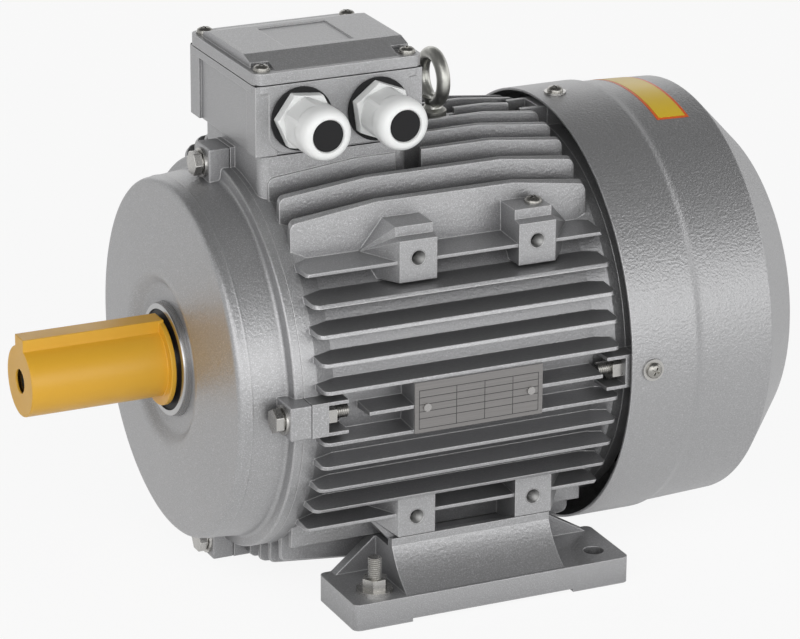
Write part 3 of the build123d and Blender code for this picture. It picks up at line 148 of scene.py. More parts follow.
def make_sprayed_skin():
    """Height of sprayed paint: soft orange peel with a finer grit on it."""
    group, entry, leave = shader_group(
        "sprayed_skin",
        [("Peel Scale", "NodeSocketFloat", 520.0), ("Grit Scale", "NodeSocketFloat", 1900.0),
         ("Grit", "NodeSocketFloat", 0.25)],
        [("Height", "NodeSocketFloat"), ("Grain", "NodeSocketFloat")])
    place = node(group, "ShaderNodeTexCoord")
    peel = node(group, "ShaderNodeTexNoise")
    grit = node(group, "ShaderNodeTexNoise")
    peel.inputs["Detail"].default_value = 1.5
    grit.inputs["Detail"].default_value = 1.0
    group.links.new(place.outputs["Object"], peel.inputs["Vector"])
    group.links.new(place.outputs["Object"], grit.inputs["Vector"])
    group.links.new(entry.outputs["Peel Scale"], peel.inputs["Scale"])
    group.links.new(entry.outputs["Grit Scale"], grit.inputs["Scale"])
    fine = maths(group, "MULTIPLY", grit.outputs["Fac"], entry.outputs["Grit"])
    group.links.new(maths(group, "ADD", peel.outputs["Fac"], fine), leave.inputs["Height"])
    group.links.new(grit.outputs["Fac"], leave.inputs["Grain"])
    return group


def make_mottle():
    """Soft cloudy variation, from 0 to 1."""
    group, entry, leave = shader_group(
        "mottle", [("Scale", "NodeSocketFloat", 40.0)], [("Cloud", "NodeSocketFloat")])
    place = node(group, "ShaderNodeTexCoord")
    noise = node(group, "ShaderNodeTexNoise")
    noise.inputs["Detail"].default_value = 5
    noise.inputs["Roughness"].default_value = 0.6
    group.links.new(place.outputs["Object"], noise.inputs["Vector"])
    group.links.new(entry.outputs["Scale"], noise.inputs["Scale"])
    group.links.new(noise.outputs["Fac"], leave.inputs["Cloud"])
    return group


def make_brushing():
    """Fine lines, as a brush or a turning tool leaves them, drawn out along the axes of low scale."""
    group, entry, leave = shader_group(
        "brushing", [("Along", "NodeSocketVector", (3.0, 900.0, 900.0))],
        [("Lines", "NodeSocketFloat")])
    place = node(group, "ShaderNodeTexCoord")
    stretch = node(group, "ShaderNodeVectorMath", operation="MULTIPLY")
    noise = node(group, "ShaderNodeTexNoise")
    noise.inputs["Scale"].default_value = 1.0
    noise.inputs["Detail"].default_value = 3
    group.links.new(place.outputs["Object"], stretch.inputs[0])
    group.links.new(entry.outputs["Along"], stretch.inputs[1])
    group.links.new(stretch.outputs[0], noise.inputs["Vector"])
    group.links.new(noise.outputs["Fac"], leave.inputs["Lines"])
    return group


def make_painted_recess_shade():
    """Mask from ambient occlusion for painted shade: bright deep between fins and in corners."""
    group, entry, leave = shader_group(
        "painted_recess_shade", [("Reach", "NodeSocketFloat", 0.03)], [("Mask", "NodeSocketFloat")])
    shelter = node(group, "ShaderNodeAmbientOcclusion", samples=6)
    fade = node(group, "ShaderNodeMapRange")
    fade.inputs["From Min"].default_value = 0.85
    fade.inputs["From Max"].default_value = 0.2
    group.links.new(entry.outputs["Reach"], shelter.inputs["Distance"])
    group.links.new(shelter.outputs["AO"], fade.inputs["Value"])
    group.links.new(fade.outputs[0], leave.inputs["Mask"])
    return group


painted_edge_highlight = make_painted_edge_highlight()
sprayed_skin = make_sprayed_skin()
mottle = make_mottle()
brushing = make_brushing()
painted_recess_shade = make_painted_recess_shade()


# Finishes

class Finish:
    """A material under construction, with its Principled shader at hand."""

    def __init__(self, name, colour, roughness, metallic=0.0):
        self.material = bpy.data.materials.new(name)
        self.material.use_nodes = True
        self.tree = self.material.node_tree
        self.shader = self.tree.nodes["Principled BSDF"]
        self.colour = colour
        self.shader.inputs["Base Color"].default_value = (*colour, 1)
        self.shader.inputs["Roughness"].default_value = roughness
        self.shader.inputs["Metallic"].default_value = metallic
        self.material.diffuse_color = (*colour, 1)
        self.normal = None

    def group(self, tree, **values):
        """Places a shared group with its own values, named with _ in the place of spaces."""
        made = node(self.tree, "ShaderNodeGroup", node_tree=tree)
        for key, value in values.items():
            made.inputs[key.replace("_", " ")].default_value = value
        return made

    def blend_colour(self, mask, other, amount=1.0):
        """Mixes the base colour towards another one where the mask is bright."""
        mix = node(self.tree, "ShaderNodeMix", data_type="RGBA")
        scaled = maths(self.tree, "MULTIPLY", mask, amount)
        self.tree.links.new(scaled, mix.inputs["Factor"])
        base = self.shader.inputs["Base Color"]
        if base.is_linked:
            self.tree.links.new(base.links[0].from_socket, mix.inputs["A"])
        else:
            mix.inputs["A"].default_value = (*self.colour, 1)
        mix.inputs["B"].default_value = (*other, 1)
        self.tree.links.new(mix.outputs["Result"], base)

    def vary_roughness(self, value, low, high):
        """Maps the middle half of a 0 to 1 value onto the roughness."""
        spread = node(self.tree, "ShaderNodeMapRange")
        spread.inputs["From Min"].default_value = 0.25
        spread.inputs["From Max"].default_value = 0.75
        spread.inputs["To Min"].default_value = low
        spread.inputs["To Max"].default_value = high
        self.tree.links.new(value, spread.inputs["Value"])
        self.tree.links.new(spread.outputs[0], self.shader.inputs["Roughness"])

    def round_edges(self, radius):
        """Softens the light along sharp edges."""
        rounded = node(self.tree, "ShaderNodeBevel", samples=6)
        rounded.inputs["Radius"].default_value = radius
        self.normal = rounded.outputs[0]
        self.tree.links.new(self.normal, self.shader.inputs["Normal"])

    def bump(self, height, depth, strength=1.0):
        """Adds relief of the given depth in metres."""
        made = node(self.tree, "ShaderNodeBump")
        made.inputs["Strength"].default_value = strength
        made.inputs["Distance"].default_value = depth
        self.tree.links.new(height, made.inputs["Height"])
        if self.normal:
            self.tree.links.new(self.normal, made.inputs["Normal"])
        self.normal = made.outputs[0]
        self.tree.links.new(self.normal, self.shader.inputs["Normal"])


SILVER = (0.40, 0.40, 0.405)
SILVER_SHADE = (0.34, 0.34, 0.345)
BRIGHT_FLAKE = (0.72, 0.72, 0.74)
# Colour painted as shade into recesses
PAINTED_SHADE_COLOUR = (0.09, 0.09, 0.095)
# Colour painted as a highlight along edges
PAINTED_EDGE_HIGHLIGHT = (0.72, 0.72, 0.72)


def silver_paint(name, peel_scale, peel_depth, flake):
    """Sprayed silver-grey metallic paint with bright flakes, painted shade in its recesses and a painted
    highlight along the edges.
    """
    finish = Finish(name, SILVER, 0.42, metallic=0.7)
    skin = finish.group(sprayed_skin, Peel_Scale=peel_scale)
    cloud = finish.group(mottle, Scale=28.0)
    highlight_mask = finish.group(painted_edge_highlight, Width=0.0011)
    sparkle = node(finish.tree, "ShaderNodeMapRange")
    sparkle.inputs["From Min"].default_value = 0.52
    sparkle.inputs["From Max"].default_value = 0.68
    finish.tree.links.new(skin.outputs["Grain"], sparkle.inputs["Value"])
    finish.blend_colour(cloud.outputs["Cloud"], SILVER_SHADE, 0.35)
    finish.blend_colour(sparkle.outputs[0], BRIGHT_FLAKE, flake)
    # Painted shade: the base colour darkens where ambient occlusion finds recesses, as between the fins
    shade_mask = finish.group(painted_recess_shade, Reach=0.028)
    finish.blend_colour(shade_mask.outputs["Mask"], PAINTED_SHADE_COLOUR, 0.6)
    # Painted highlight: the base colour lightens along sharp outer edges
    finish.blend_colour(highlight_mask.outputs["Mask"], PAINTED_EDGE_HIGHLIGHT, 0.6)
    finish.vary_roughness(skin.outputs["Grain"], 0.32, 0.46)
    finish.round_edges(0.0008)
    finish.bump(skin.outputs["Height"], peel_depth, 0.8)
    return finish.material


def zinc_plate(name, colour, stain):
    """Plated steel of fasteners, with a darker stain in its clouds and a painted highlight along its
    edges.
    """
    finish = Finish(name, colour, 0.3, metallic=1.0)
    cloud = finish.group(mottle, Scale=420.0)
    highlight_mask = finish.group(painted_edge_highlight, Width=0.0004, Breakup=900.0)
    finish.blend_colour(cloud.outputs["Cloud"], stain, 0.6)
    # Painted highlight: the base colour lightens along sharp outer edges
    finish.blend_colour(highlight_mask.outputs["Mask"], (0.85, 0.84, 0.80), 0.6)
    finish.vary_roughness(cloud.outputs["Cloud"], 0.2, 0.38)
    finish.bump(cloud.outputs["Cloud"], 0.00004, 0.6)
    return finish.material


def galvanised():
    """Dull dipped zinc on the lifting eye."""
    finish = Finish("galvanised", (0.62, 0.62, 0.58), 0.35, metallic=0.95)
    cloud = finish.group(mottle, Scale=150.0)
    patch = finish.group(mottle, Scale=420.0)
    finish.blend_colour(cloud.outputs["Cloud"], (0.22, 0.22, 0.20), 0.6)
    finish.blend_colour(patch.outputs["Cloud"], (0.70, 0.70, 0.66), 0.35)
    finish.vary_roughness(cloud.outputs["Cloud"], 0.24, 0.5)
    finish.bump(cloud.outputs["Cloud"], 0.0003, 0.7)
    return finish.material


def turned_steel(name, colour, lines=(1600.0, 3.0, 3.0), rough=(0.18, 0.36)):
    """Machined steel with fine tool lines."""
    finish = Finish(name, colour, 0.25, metallic=1.0)
    marks = finish.group(brushing, Along=lines)
    cloud = finish.group(mottle, Scale=90.0)
    finish.blend_colour(cloud.outputs["Cloud"], tuple(0.7 * c for c in colour), 0.5)
    finish.vary_roughness(marks.outputs["Lines"], *rough)
    finish.bump(marks.outputs["Lines"], 0.00003, 0.5)
    return finish.material


def moulded_plastic(name, colour, shade, rough=(0.28, 0.42), grain=1400.0, depth=0.00003, gloss=0.5):
    """Injection-moulded plastic with faint flow clouds and a fine skin."""
    finish = Finish(name, colour, 0.35)
    finish.shader.inputs["Specular IOR Level"].default_value = gloss
    cloud = finish.group(mottle, Scale=24.0)
    skin = finish.group(sprayed_skin, Peel_Scale=grain, Grit_Scale=3 * grain)
    finish.blend_colour(cloud.outputs["Cloud"], shade, 0.45)
    finish.vary_roughness(cloud.outputs["Cloud"], *rough)
    finish.round_edges(0.0005)
    finish.bump(skin.outputs["Height"], depth, 0.5)
    return finish.material


def printed_plate():
    """Brushed aluminium of the rating plate."""
    finish = Finish("printed_plate", (0.30, 0.29, 0.285), 0.4, metallic=0.85)
    marks = finish.group(brushing, Along=(14.0, 2400.0, 2400.0))
    finish.blend_colour(marks.outputs["Lines"], (0.16, 0.155, 0.15), 0.6)
    finish.vary_roughness(marks.outputs["Lines"], 0.3, 0.5)
    finish.bump(marks.outputs["Lines"], 0.00002, 0.5)
    return finish.material


def core_laminations():
    """Stacked sheets, seen as fine rings."""
    finish = Finish("core_laminations", (0.16, 0.16, 0.17), 0.5, metallic=0.8)
    marks = finish.group(brushing, Along=(2000.0, 4.0, 4.0))
    finish.blend_colour(marks.outputs["Lines"], (0.05, 0.05, 0.055), 0.8)
    finish.bump(marks.outputs["Lines"], 0.0002, 0.8)
    return finish.material


def wound_copper():
    """Varnished copper wires bundled round the bore."""
    finish = Finish("wound_copper", (0.45, 0.15, 0.05), 0.35, metallic=0.6)
    marks = finish.group(brushing, Along=(500.0, 90.0, 90.0))
    finish.blend_colour(marks.outputs["Lines"], (0.20, 0.06, 0.02), 0.8)
    finish.bump(marks.outputs["Lines"], 0.0006, 0.9)
    return finish.material


cast_paint = silver_paint("cast_paint", 620.0, 0.00022, 0.55)
sheet_paint = silver_paint("sheet_paint", 680.0, 0.00045, 0.35)
zinc = zinc_plate("zinc_plate", (0.60, 0.59, 0.57), (0.30, 0.295, 0.28))
screw_nickel = zinc_plate("screw_nickel", (0.46, 0.45, 0.42), (0.10, 0.095, 0.09))
eye_metal = galvanised()
machined = turned_steel("machined_steel", (0.55, 0.55, 0.55))
polished = turned_steel("bearing_steel", (0.66, 0.66, 0.66), rough=(0.08, 0.2))
brass = turned_steel("terminal_brass", (0.72, 0.50, 0.20))
cast_aluminium = turned_steel("cast_rotor_aluminium", (0.6, 0.6, 0.6), (60.0, 60.0, 60.0), (0.35, 0.6))
plate_metal = printed_plate()
rivet_metal = turned_steel("rivet_aluminium", (0.48, 0.47, 0.46), (200.0, 200.0, 200.0))
tapped_metal = turned_steel("tapped_thread", (0.34, 0.34, 0.335), (60.0, 60.0, 60.0), (0.35, 0.5))
gland_white = moulded_plastic("gland_nylon", (0.90, 0.91, 0.90), (0.85, 0.86, 0.855))
sleeve_yellow = moulded_plastic("sleeve_yellow", (0.78, 0.43, 0.035), (0.70, 0.35, 0.02),
                                grain=500.0, depth=0.00006)
rubber = moulded_plastic("black_rubber", (0.008, 0.008, 0.009), (0.02, 0.02, 0.02),
                         rough=(0.4, 0.6), gloss=0.25)
black_plastic = moulded_plastic("black_plastic", (0.014, 0.014, 0.014), (0.03, 0.03, 0.03), gloss=0.3)
sticker_yellow = moulded_plastic("sticker_yellow", (0.84, 0.58, 0.03), (0.80, 0.53, 0.02))
sticker_orange = moulded_plastic("sticker_orange", (0.84, 0.14, 0.02), (0.80, 0.12, 0.02))
plate_ink = moulded_plastic("plate_ink", (0.03, 0.03, 0.03), (0.05, 0.05, 0.05))
laminations = core_laminations()
copper = wound_copper()


# Mesh helpers

CRISP_ANGLE = math.radians(32)


def make_piece(name, shape, material, body, stands_for=()):
    """Turns a bmesh into an object that rides on a body and may stand for CAD nodes.

    Edges sharper than CRISP_ANGLE stay crisp, and large faces rule the light on the narrow
    ones beside them."""
    for face in shape.faces:
        face.smooth = True
    for edge in shape.edges:
        edge.smooth = len(edge.link_faces) == 2 and edge.calc_face_angle(0) < CRISP_ANGLE
    mesh = bpy.data.meshes.new(name)
    shape.to_mesh(mesh)
    shape.free()
    mesh.materials.append(material)
    piece = bpy.data.objects.new(name, mesh)
    bpy.context.collection.objects.link(piece)
    even = piece.modifiers.new("even_light", "WEIGHTED_NORMAL")
    even.mode = "FACE_AREA"
    even.weight = 60
    even.keep_sharp = True
    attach(piece, body)
    if stands_for:
        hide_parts(*stands_for)


def in_mm(points):
    """The same points, given in millimetres."""
    return [tuple(MM * value for value in point) for point in points]


def at_mm(x, y, z):
    """A place or a size given in millimetres."""
    return Vector((x * MM, y * MM, z * MM))


def block(size, place):
    """Cuboid of the given size, put in its place by a matrix."""
    shape = bmesh.new()
    bmesh.ops.create_cube(shape, size=1.0, matrix=place @ Matrix.Diagonal((*size, 1)))
    return shape


def merge(target, extra):
    """Adds one bmesh to another and frees it."""
    passing = bpy.data.meshes.new("passing")
    extra.to_mesh(passing)
    extra.free()
    target.from_mesh(passing)
    bpy.data.meshes.remove(passing)


def aim(shape, origin, direction, spin=0.0):
    """Turns a shape's own Z to a direction and moves it to its place."""
    turn = Vector(direction).to_track_quat("Z", "Y").to_matrix().to_4x4()
    place = Matrix.Translation(origin) @ turn @ Matrix.Rotation(spin, 4, "Z")
    bmesh.ops.transform(shape, matrix=place, verts=shape.verts)
    return shape


def spun(profile, steps):
    """Shape spun about its own Z from (radius, height) points.

    A profile that keeps off the axis is closed into a ring."""
    shape = bmesh.new()
    verts = [shape.verts.new((radius, 0, height)) for radius, height in profile]
    edges = [shape.edges.new(pair) for pair in zip(verts, verts[1:])]
    if min(profile[0][0], profile[-1][0]) > 0:
        edges.append(shape.edges.new((verts[-1], verts[0])))
    bmesh.ops.spin(shape, geom=verts + edges, cent=(0, 0, 0), axis=(0, 0, 1), dvec=(0, 0, 0),
                   angle=2 * math.pi, steps=steps, use_merge=True)
    bmesh.ops.remove_doubles(shape, verts=shape.verts, dist=1e-7)
    bmesh.ops.recalc_face_normals(shape, faces=shape.faces)
    return shape


def hex_prism(across_flats, height, ease):
    """Hexagon prism on its own Z, with its rims eased."""
    shape = bmesh.new()
    bmesh.ops.create_circle(shape, cap_ends=True, segments=6, radius=across_flats / math.sqrt(3))
    raised = bmesh.ops.extrude_face_region(shape, geom=shape.faces[:])
    tops = [item for item in raised["geom"] if isinstance(item, bmesh.types.BMVert)]
    bmesh.ops.translate(shape, vec=(0, 0, height), verts=tops)
    bmesh.ops.recalc_face_normals(shape, faces=shape.faces)
    bmesh.ops.bevel(shape, geom=shape.edges[:], offset=ease, offset_type="OFFSET", segments=2,
                    profile=0.5, affect="EDGES", material=-1)
    return shape


def cut_flat(shape, point, normal):
    """Cuts away what lies beyond a plane and closes the cut."""
    found = bmesh.ops.bisect_plane(shape, geom=shape.verts[:] + shape.edges[:] + shape.faces[:],
                                   plane_co=point, plane_no=normal, clear_outer=True)
    rim = [item for item in found["geom_cut"] if isinstance(item, bmesh.types.BMEdge)]
    bmesh.ops.contextual_create(shape, geom=rim)


M8_RADIUS = 4.0 * MM
M8_PITCH = 1.25 * MM


def threaded_rod(length):
    """M8 rod on its own Z with a real helical thread, flat at both ends.

    Two turns stick out past each end and are cut off."""
    shape = bmesh.new()
    root = M8_RADIUS - 0.6 * M8_PITCH
    turns = int(length / M8_PITCH) + 4
    points = []
    for turn in range(turns):
        low = (turn - 2) * M8_PITCH
        points += [(root, low), (M8_RADIUS, low + 0.42 * M8_PITCH), (M8_RADIUS, low + 0.58 * M8_PITCH)]
    points.append((root, (turns - 2) * M8_PITCH))
    verts = [shape.verts.new((r, 0, z)) for r, z in points]
    edges = [shape.edges.new(pair) for pair in zip(verts, verts[1:])]
    steps = 28
    bmesh.ops.spin(shape, geom=verts + edges, cent=(0, 0, 0), axis=(0, 0, 1),
                   dvec=(0, 0, M8_PITCH / steps), angle=2 * math.pi, steps=steps, use_merge=False)
    bmesh.ops.remove_doubles(shape, verts=shape.verts, dist=1e-6)
    bmesh.ops.recalc_face_normals(shape, faces=shape.faces)
    cut_flat(shape, (0, 0, 0), (0, 0, -1))
    cut_flat(shape, (0, 0, length), (0, 0, 1))
    bmesh.ops.recalc_face_normals(shape, faces=shape.faces)
    return shape


CAD_EDGE_ANGLE = math.radians(13)


def eased_copy(name, width):
    """Copy of a CAD solid with its doubles merged and its edges rounded over.

    Facets of its curved walls meet at less than CAD_EDGE_ANGLE and stay as they are."""
    shape = bmesh.new()
    shape.from_mesh(frame["nodes"][name].data)
    bmesh.ops.remove_doubles(shape, verts=shape.verts, dist=2e-6)
    bmesh.ops.dissolve_limit(shape, angle_limit=math.radians(0.1), verts=shape.verts,
                             edges=shape.edges)
    sharp = [edge for edge in shape.edges
             if len(edge.link_faces) == 2 and edge.calc_face_angle(0) > CAD_EDGE_ANGLE]
    bmesh.ops.bevel(shape, geom=sharp, offset=width, offset_type="OFFSET", segments=3,
                    profile=0.5, affect="EDGES", clamp_overlap=True, material=-1)
    return shape


def through_boolean(shape, cutter, operation):
    """Joins, cuts or intersects two closed shapes and gives the result as a bmesh."""
    objects = []
    for label, each in (("blank", shape), ("cutter", cutter)):
        mesh = bpy.data.meshes.new(label)
        each.to_mesh(mesh)
        each.free()
        made = bpy.data.objects.new(label, mesh)
        bpy.context.collection.objects.link(made)
        objects.append(made)
    blank, tool = objects
    step = blank.modifiers.new("cut", "BOOLEAN")
    step.operation = operation
    step.solver = "EXACT"
    step.object = tool
    graph = bpy.context.evaluated_depsgraph_get()
    finished = bpy.data.meshes.new_from_object(blank.evaluated_get(graph))
    result = bmesh.new()
    result.from_mesh(finished)
    for made in objects:
        bpy.data.objects.remove(made)
    return result


# Housing pieces taken over from the solids

finishes = {
    "housing_paint": cast_paint,
    "zinc_steel": zinc,
    "machined_steel": machined,
    "bearing_steel": polished,
    "core_steel": laminations,
    "cast_rotor_aluminium": cast_aluminium,
    "winding_copper": copper,
    "terminal_brass": brass,
    "plate_aluminium": rivet_metal,
    "gland_plastic": gland_white,
    "sleeve_plastic": sleeve_yellow,
    "black_plastic": black_plastic,
    "black_rubber": rubber,
}


def paint_cad_nodes():
    """Gives every carried-over CAD node the finish of its slot."""
    slots = {entry["node"]: entry["material_slot"] for entry in frame["record"]["subparts"]}
    for name, piece in frame["nodes"].items():
        piece.data.materials.clear()
        piece.data.materials.append(finishes[slots[name]])
    frame["nodes"]["nameplate"].data.materials[0] = plate_metal
    frame["nodes"]["eye_bolt"].data.materials[0] = eye_metal


# Fasteners

LUG_BOLT_R = 115.5 * MM
QUARTERS = [Vector((0, 1, 0)), Vector((0, 0, 1)), Vector((0, -1, 0)), Vector((0, 0, -1))]


def shield_bolts(name, head_x, way, stands_for):
    """Four hexagon bolts along the shaft, each with a turned face under its head and a long thread."""
    face_height = 0.4 * MM
    outward = ALONG_SHAFT * way
    shape = bmesh.new()
    for side in QUARTERS:
        seat = SHAFT_CENTRE + side * LUG_BOLT_R + ALONG_SHAFT * head_x
        spin = 0 if abs(side.y) > 0 else math.pi / 2
        face = spun([(0, 0), (5.6 * MM, 0), (5.6 * MM, face_height), (0, face_height)], 48)
        merge(shape, aim(face, seat, outward))
        head = hex_prism(12.8 * MM, 4.9 * MM, 0.45 * MM)
        merge(shape, aim(head, seat + outward * face_height, outward, spin))
        merge(shape, aim(threaded_rod(39.6 * MM), seat, -outward))
    make_piece(name, shape, zinc, "housing", stands_for)


def earth_terminal():
    """Threaded stud that stands in the near front foot hole, under the CAD nut and washer."""
    stud = aim(threaded_rod(34.5 * MM), at_mm(-70, -108, 2), UPWARD)
    make_piece("earth_stud_thread", stud, zinc, "housing", ("earth_stud",))


def cross_head(radius, height):
    """Domed screw head on its own Z with a cross recess."""
    crown = [(0, 0), (radius, 0), (radius, 0.28 * height), (0.94 * radius, 0.55 * height),
             (0.72 * radius, 0.85 * height), (0.4 * radius, 0.97 * height), (0, height)]
    head = spun(crown, 48)
    for spin in (0, math.pi / 2):
        place = Matrix.Rotation(spin, 4, "Z") @ Matrix.Translation((0, 0, 0.95 * height))
        blade = block((1.15 * radius, 0.24 * radius, height), place)
        head = through_boolean(head, blade, "DIFFERENCE")
    return head


def cross_screws(name, seats, radius, height, stands_for, washer=None):
    """Domed screws on their seats, each given as (point, direction).

    A washer is given as (radius, thickness), and each screw is turned a little further."""
    shape = bmesh.new()
    for turn, (point, direction) in enumerate(seats):
        lift = Vector((0, 0, 0))
        if washer:
            outer, thickness = washer
            bore = 0.55 * outer
            ring = spun([(bore, 0), (outer, 0), (outer, thickness), (bore, thickness)], 40)
            merge(shape, aim(ring, point, direction))
            lift = Vector(direction) * thickness
        merge(shape, aim(cross_head(radius, height), point + lift, direction, 0.5 + 1.1 * turn))
    make_piece(name, shape, screw_nickel, "housing", stands_for)


# Lifting eye, glands, rating plate and sticker

def lifting_eye():
    """Forged ring with its neck, turned collar and threaded shank."""
    eye_x = 15.3
    ring = bmesh.new()
    upright = Matrix.Translation(at_mm(14, 0, 0)) @ Matrix.Rotation(math.pi / 2, 4, "X")
    bmesh.ops.create_circle(ring, cap_ends=False, segments=28, radius=4.0 * MM, matrix=upright)
    bmesh.ops.spin(ring, geom=ring.verts[:] + ring.edges[:], cent=(0, 0, 0), axis=(0, 0, 1),
                   dvec=(0, 0, 0), angle=2 * math.pi, steps=72, use_merge=True)
    bmesh.ops.remove_doubles(ring, verts=ring.verts, dist=1e-7)
    bmesh.ops.recalc_face_normals(ring, faces=ring.faces)
    aim(ring, at_mm(eye_x, 0, 280.4), ALONG_SHAFT)
    neck = spun(in_mm([(0, -9), (7.6, -9), (7.9, -8.4), (7.9, -5.2), (7.2, -4.5), (5.6, -3.6),
                       (4.6, -1.6), (5.0, 1.2), (6.2, 3.0), (0, 3.0)]), 48)
    merge(ring, aim(neck, at_mm(eye_x, 0, 266), UPWARD))
    merge(ring, aim(threaded_rod(13 * MM), at_mm(eye_x, 0, 257), -UPWARD))
    make_piece("lifting_eye", ring, eye_metal, "housing", ("eye_bolt",))


# Each gland's place along the shaft in mm, and the turn in degrees that it was tightened to
GLANDS = ((-88.8, -6), (-42.0, -22))
GLAND_Z = 282.3
GLAND_WAY = Vector((0, -1, 0))


def gland_body(x, turn):
    """Hexagon flange with its neck and the shank that enters the box."""
    flange = hex_prism(30.4 * MM, 6.5 * MM, 0.1 * MM)
    chamfer = spun(in_mm([(0, -0.2), (17.2, -0.2), (17.6, 0.6), (17.6, 5.2), (16.2, 6.55), (0, 6.55)]), 96)
    flange = through_boolean(flange, chamfer, "INTERSECT")
    neck = spun(in_mm([(9.2, 6.3), (13.5, 6.3), (13.5, 8.0), (12.4, 8.2), (12.4, 21), (9.2, 21)]), 72)
    shank = spun(in_mm([(9.2, -13.3), (12.2, -13.3), (12.5, -12.9), (12.5, 0.2), (9.2, 0.2)]), 72)
    merge(flange, neck)
    merge(flange, shank)
    return aim(flange, at_mm(x, -50.3, GLAND_Z), GLAND_WAY, math.radians(turn))


def gland_cap(x, turn):
    """Cap with six flats that run out in scallops under a round dome with a wide mouth."""
    grip = hex_prism(27.6 * MM, 17.6 * MM, 0.1 * MM)
    trim = spun(in_mm([(0, -0.1), (14.6, -0.1), (15.3, 0.7), (15.35, 17.7), (0, 17.7)]), 96)
    grip = through_boolean(grip, trim, "INTERSECT")
    dome = spun(in_mm([(0, 11.5), (13.3, 11.5), (13.9, 12.6), (14.6, 14.4), (15.0, 16.0), (15.2, 17.6),
                       (15.2, 22.4), (15.0, 24.2), (14.4, 26.0), (13.4, 27.4), (12.2, 28.2), (11.0, 28.5),
                       (0, 28.5)]), 96)
    cap = through_boolean(grip, dome, "UNION")
    mouth = spun(in_mm([(0, -1), (12.5, -1), (12.5, 12.8), (9.2, 12.8), (9.2, 27.5), (9.6, 28.2),
                        (10.4, 29), (0, 29)]), 96)
    cap = through_boolean(cap, mouth, "DIFFERENCE")
    return aim(cap, at_mm(x, -58.3, GLAND_Z), GLAND_WAY, math.radians(turn))


def glands():
    """Two nylon cable glands, each turned as it was tightened."""
    bodies = bmesh.new()
    caps = bmesh.new()
    for x, turn in GLANDS:
        merge(bodies, gland_body(x, 30 + turn))
        merge(caps, gland_cap(x, 12 + turn))
    make_piece("gland_bodies_moulded", bodies, gland_white, "housing", ("gland_bodies",))
    make_piece("gland_caps_moulded", caps, gland_white, "housing", ("gland_caps",))


def plate_rules():
    """Ruled fields printed on the rating plate."""
    plate_centre = at_mm(-15, -127.8, 131)
    line_width = 0.35
    ink_depth = 0.08
    shape = bmesh.new()
    for z in (10.2, 6.0, 1.8, -2.4, -6.6, -12.6):
        place = Matrix.Translation(plate_centre + at_mm(0, 0, z))
        merge(shape, block(at_mm(74.0, ink_depth, line_width), place))
    for x in (-37.0, -14.0, 3.5, 21.0, 37.0):
        place = Matrix.Translation(plate_centre + at_mm(x, 0, -1.2))
        merge(shape, block(at_mm(line_width, ink_depth, 23.0), place))
    make_piece("nameplate_rules", shape, plate_ink, "housing")


def sticker_patch(front_x, rear_x, start, end, lift):
    """Thin patch over the tapered fan cover, from one angle to another about the shaft."""
    cover_radius = 127.4
    taper_start = 127.5
    taper = 1.7 / 47
    strip = bmesh.new()
    corners = []
    for x in (front_x, rear_x):
        radius = cover_radius - (x - taper_start) * taper + lift
        corners.append(strip.verts.new(at_mm(x, 0, radius)))
    edge = strip.edges.new(corners)
    bmesh.ops.rotate(strip, cent=(0, 0, 0), matrix=Matrix.Rotation(math.radians(start), 3, "X"),
                     verts=strip.verts)
    bmesh.ops.spin(strip, geom=corners + [edge], cent=(0, 0, 0), axis=ALONG_SHAFT, dvec=(0, 0, 0),
                   angle=math.radians(end - start), steps=28, use_merge=False)
    bmesh.ops.translate(strip, vec=SHAFT_CENTRE, verts=strip.verts)
    bmesh.ops.recalc_face_normals(strip, faces=strip.faces)
    bmesh.ops.solidify(strip, geom=strip.faces[:], thickness=0.08 * MM)
    return strip


def cover_sticker():
    """Bare sticker with a coloured border on top of the fan cover."""
    border = sticker_patch(139.4, 160.6, -20, 20.2, 0.14)
    face = sticker_patch(141.2, 158.8, -19.2, 19.4, 0.24)
    make_piece("cover_sticker_border", border, sticker_orange, "housing")
    make_piece("cover_sticker_face", face, sticker_yellow, "housing")


def tapped_holes():
    """Threads with countersunk rims in the holes of the eight mounting pads."""
    root, crest, mouth = 4.15, 3.6, 4.24
    lining_outline = [(mouth, -11), (crest, -11)]
    for turn in range(8):
        depth = -10.6 + 1.25 * turn
        lining_outline += [(crest, depth), (root, depth + 0.5)]
    lining_outline += [(3.9, -0.7), (4.7, 0.05), (4.9, 0.05), (mouth, -0.7)]
    shape = bmesh.new()
    for side in (-1, 1):
        for x in (-41, 33):
            for z in (54, 210):
                lining = spun(in_mm(lining_outline), 48)
                merge(shape, aim(lining, at_mm(x, side * 102, z), (0, side, 0)))
    make_piece("pad_hole_threads", shape, tapped_metal, "housing")


# Drive-end shield and fan cover

# Outlines are (radius, place along the shaft) in mm, spun about the shaft
DRUM_OUTLINE = [
    (29.5, -149.1), (33.45, -149.1), (33.45, -150.1), (40.5, -150.1), (42.6, -150.4), (44.8, -151.4),
    (47.6, -153.9), (49.8, -155.2), (52.0, -155.65), (55.0, -155.6), (100.6, -151.1), (102.4, -150.8),
    (103.6, -150.2), (104.4, -149.3), (104.8, -148.2), (104.95, -147.0), (105.2, -144.2),
    (105.55, -143.6), (105.5, -142.8), (105.3, -142.2), (106.9, -124.6), (107.2, -123.4),
    (107.9, -122.6), (109.0, -122.2), (112.6, -121.7), (113.5, -121.4), (114.0, -120.7),
    (114.0, -116.0), (104.95, -116.0), (104.95, -112.0), (98.95, -112.0), (97.2, -144.8),
    (52.0, -144.8), (52.0, -121.0), (45.05, -121.0), (45.05, -144.0), (29.5, -144.0),
]
LIP_OUTLINE = [
    (29.55, -155.0), (32.0, -155.0), (32.6, -154.7), (33.0, -153.6), (33.4, -150.4), (33.4, -149.15),
    (29.55, -149.15),
]
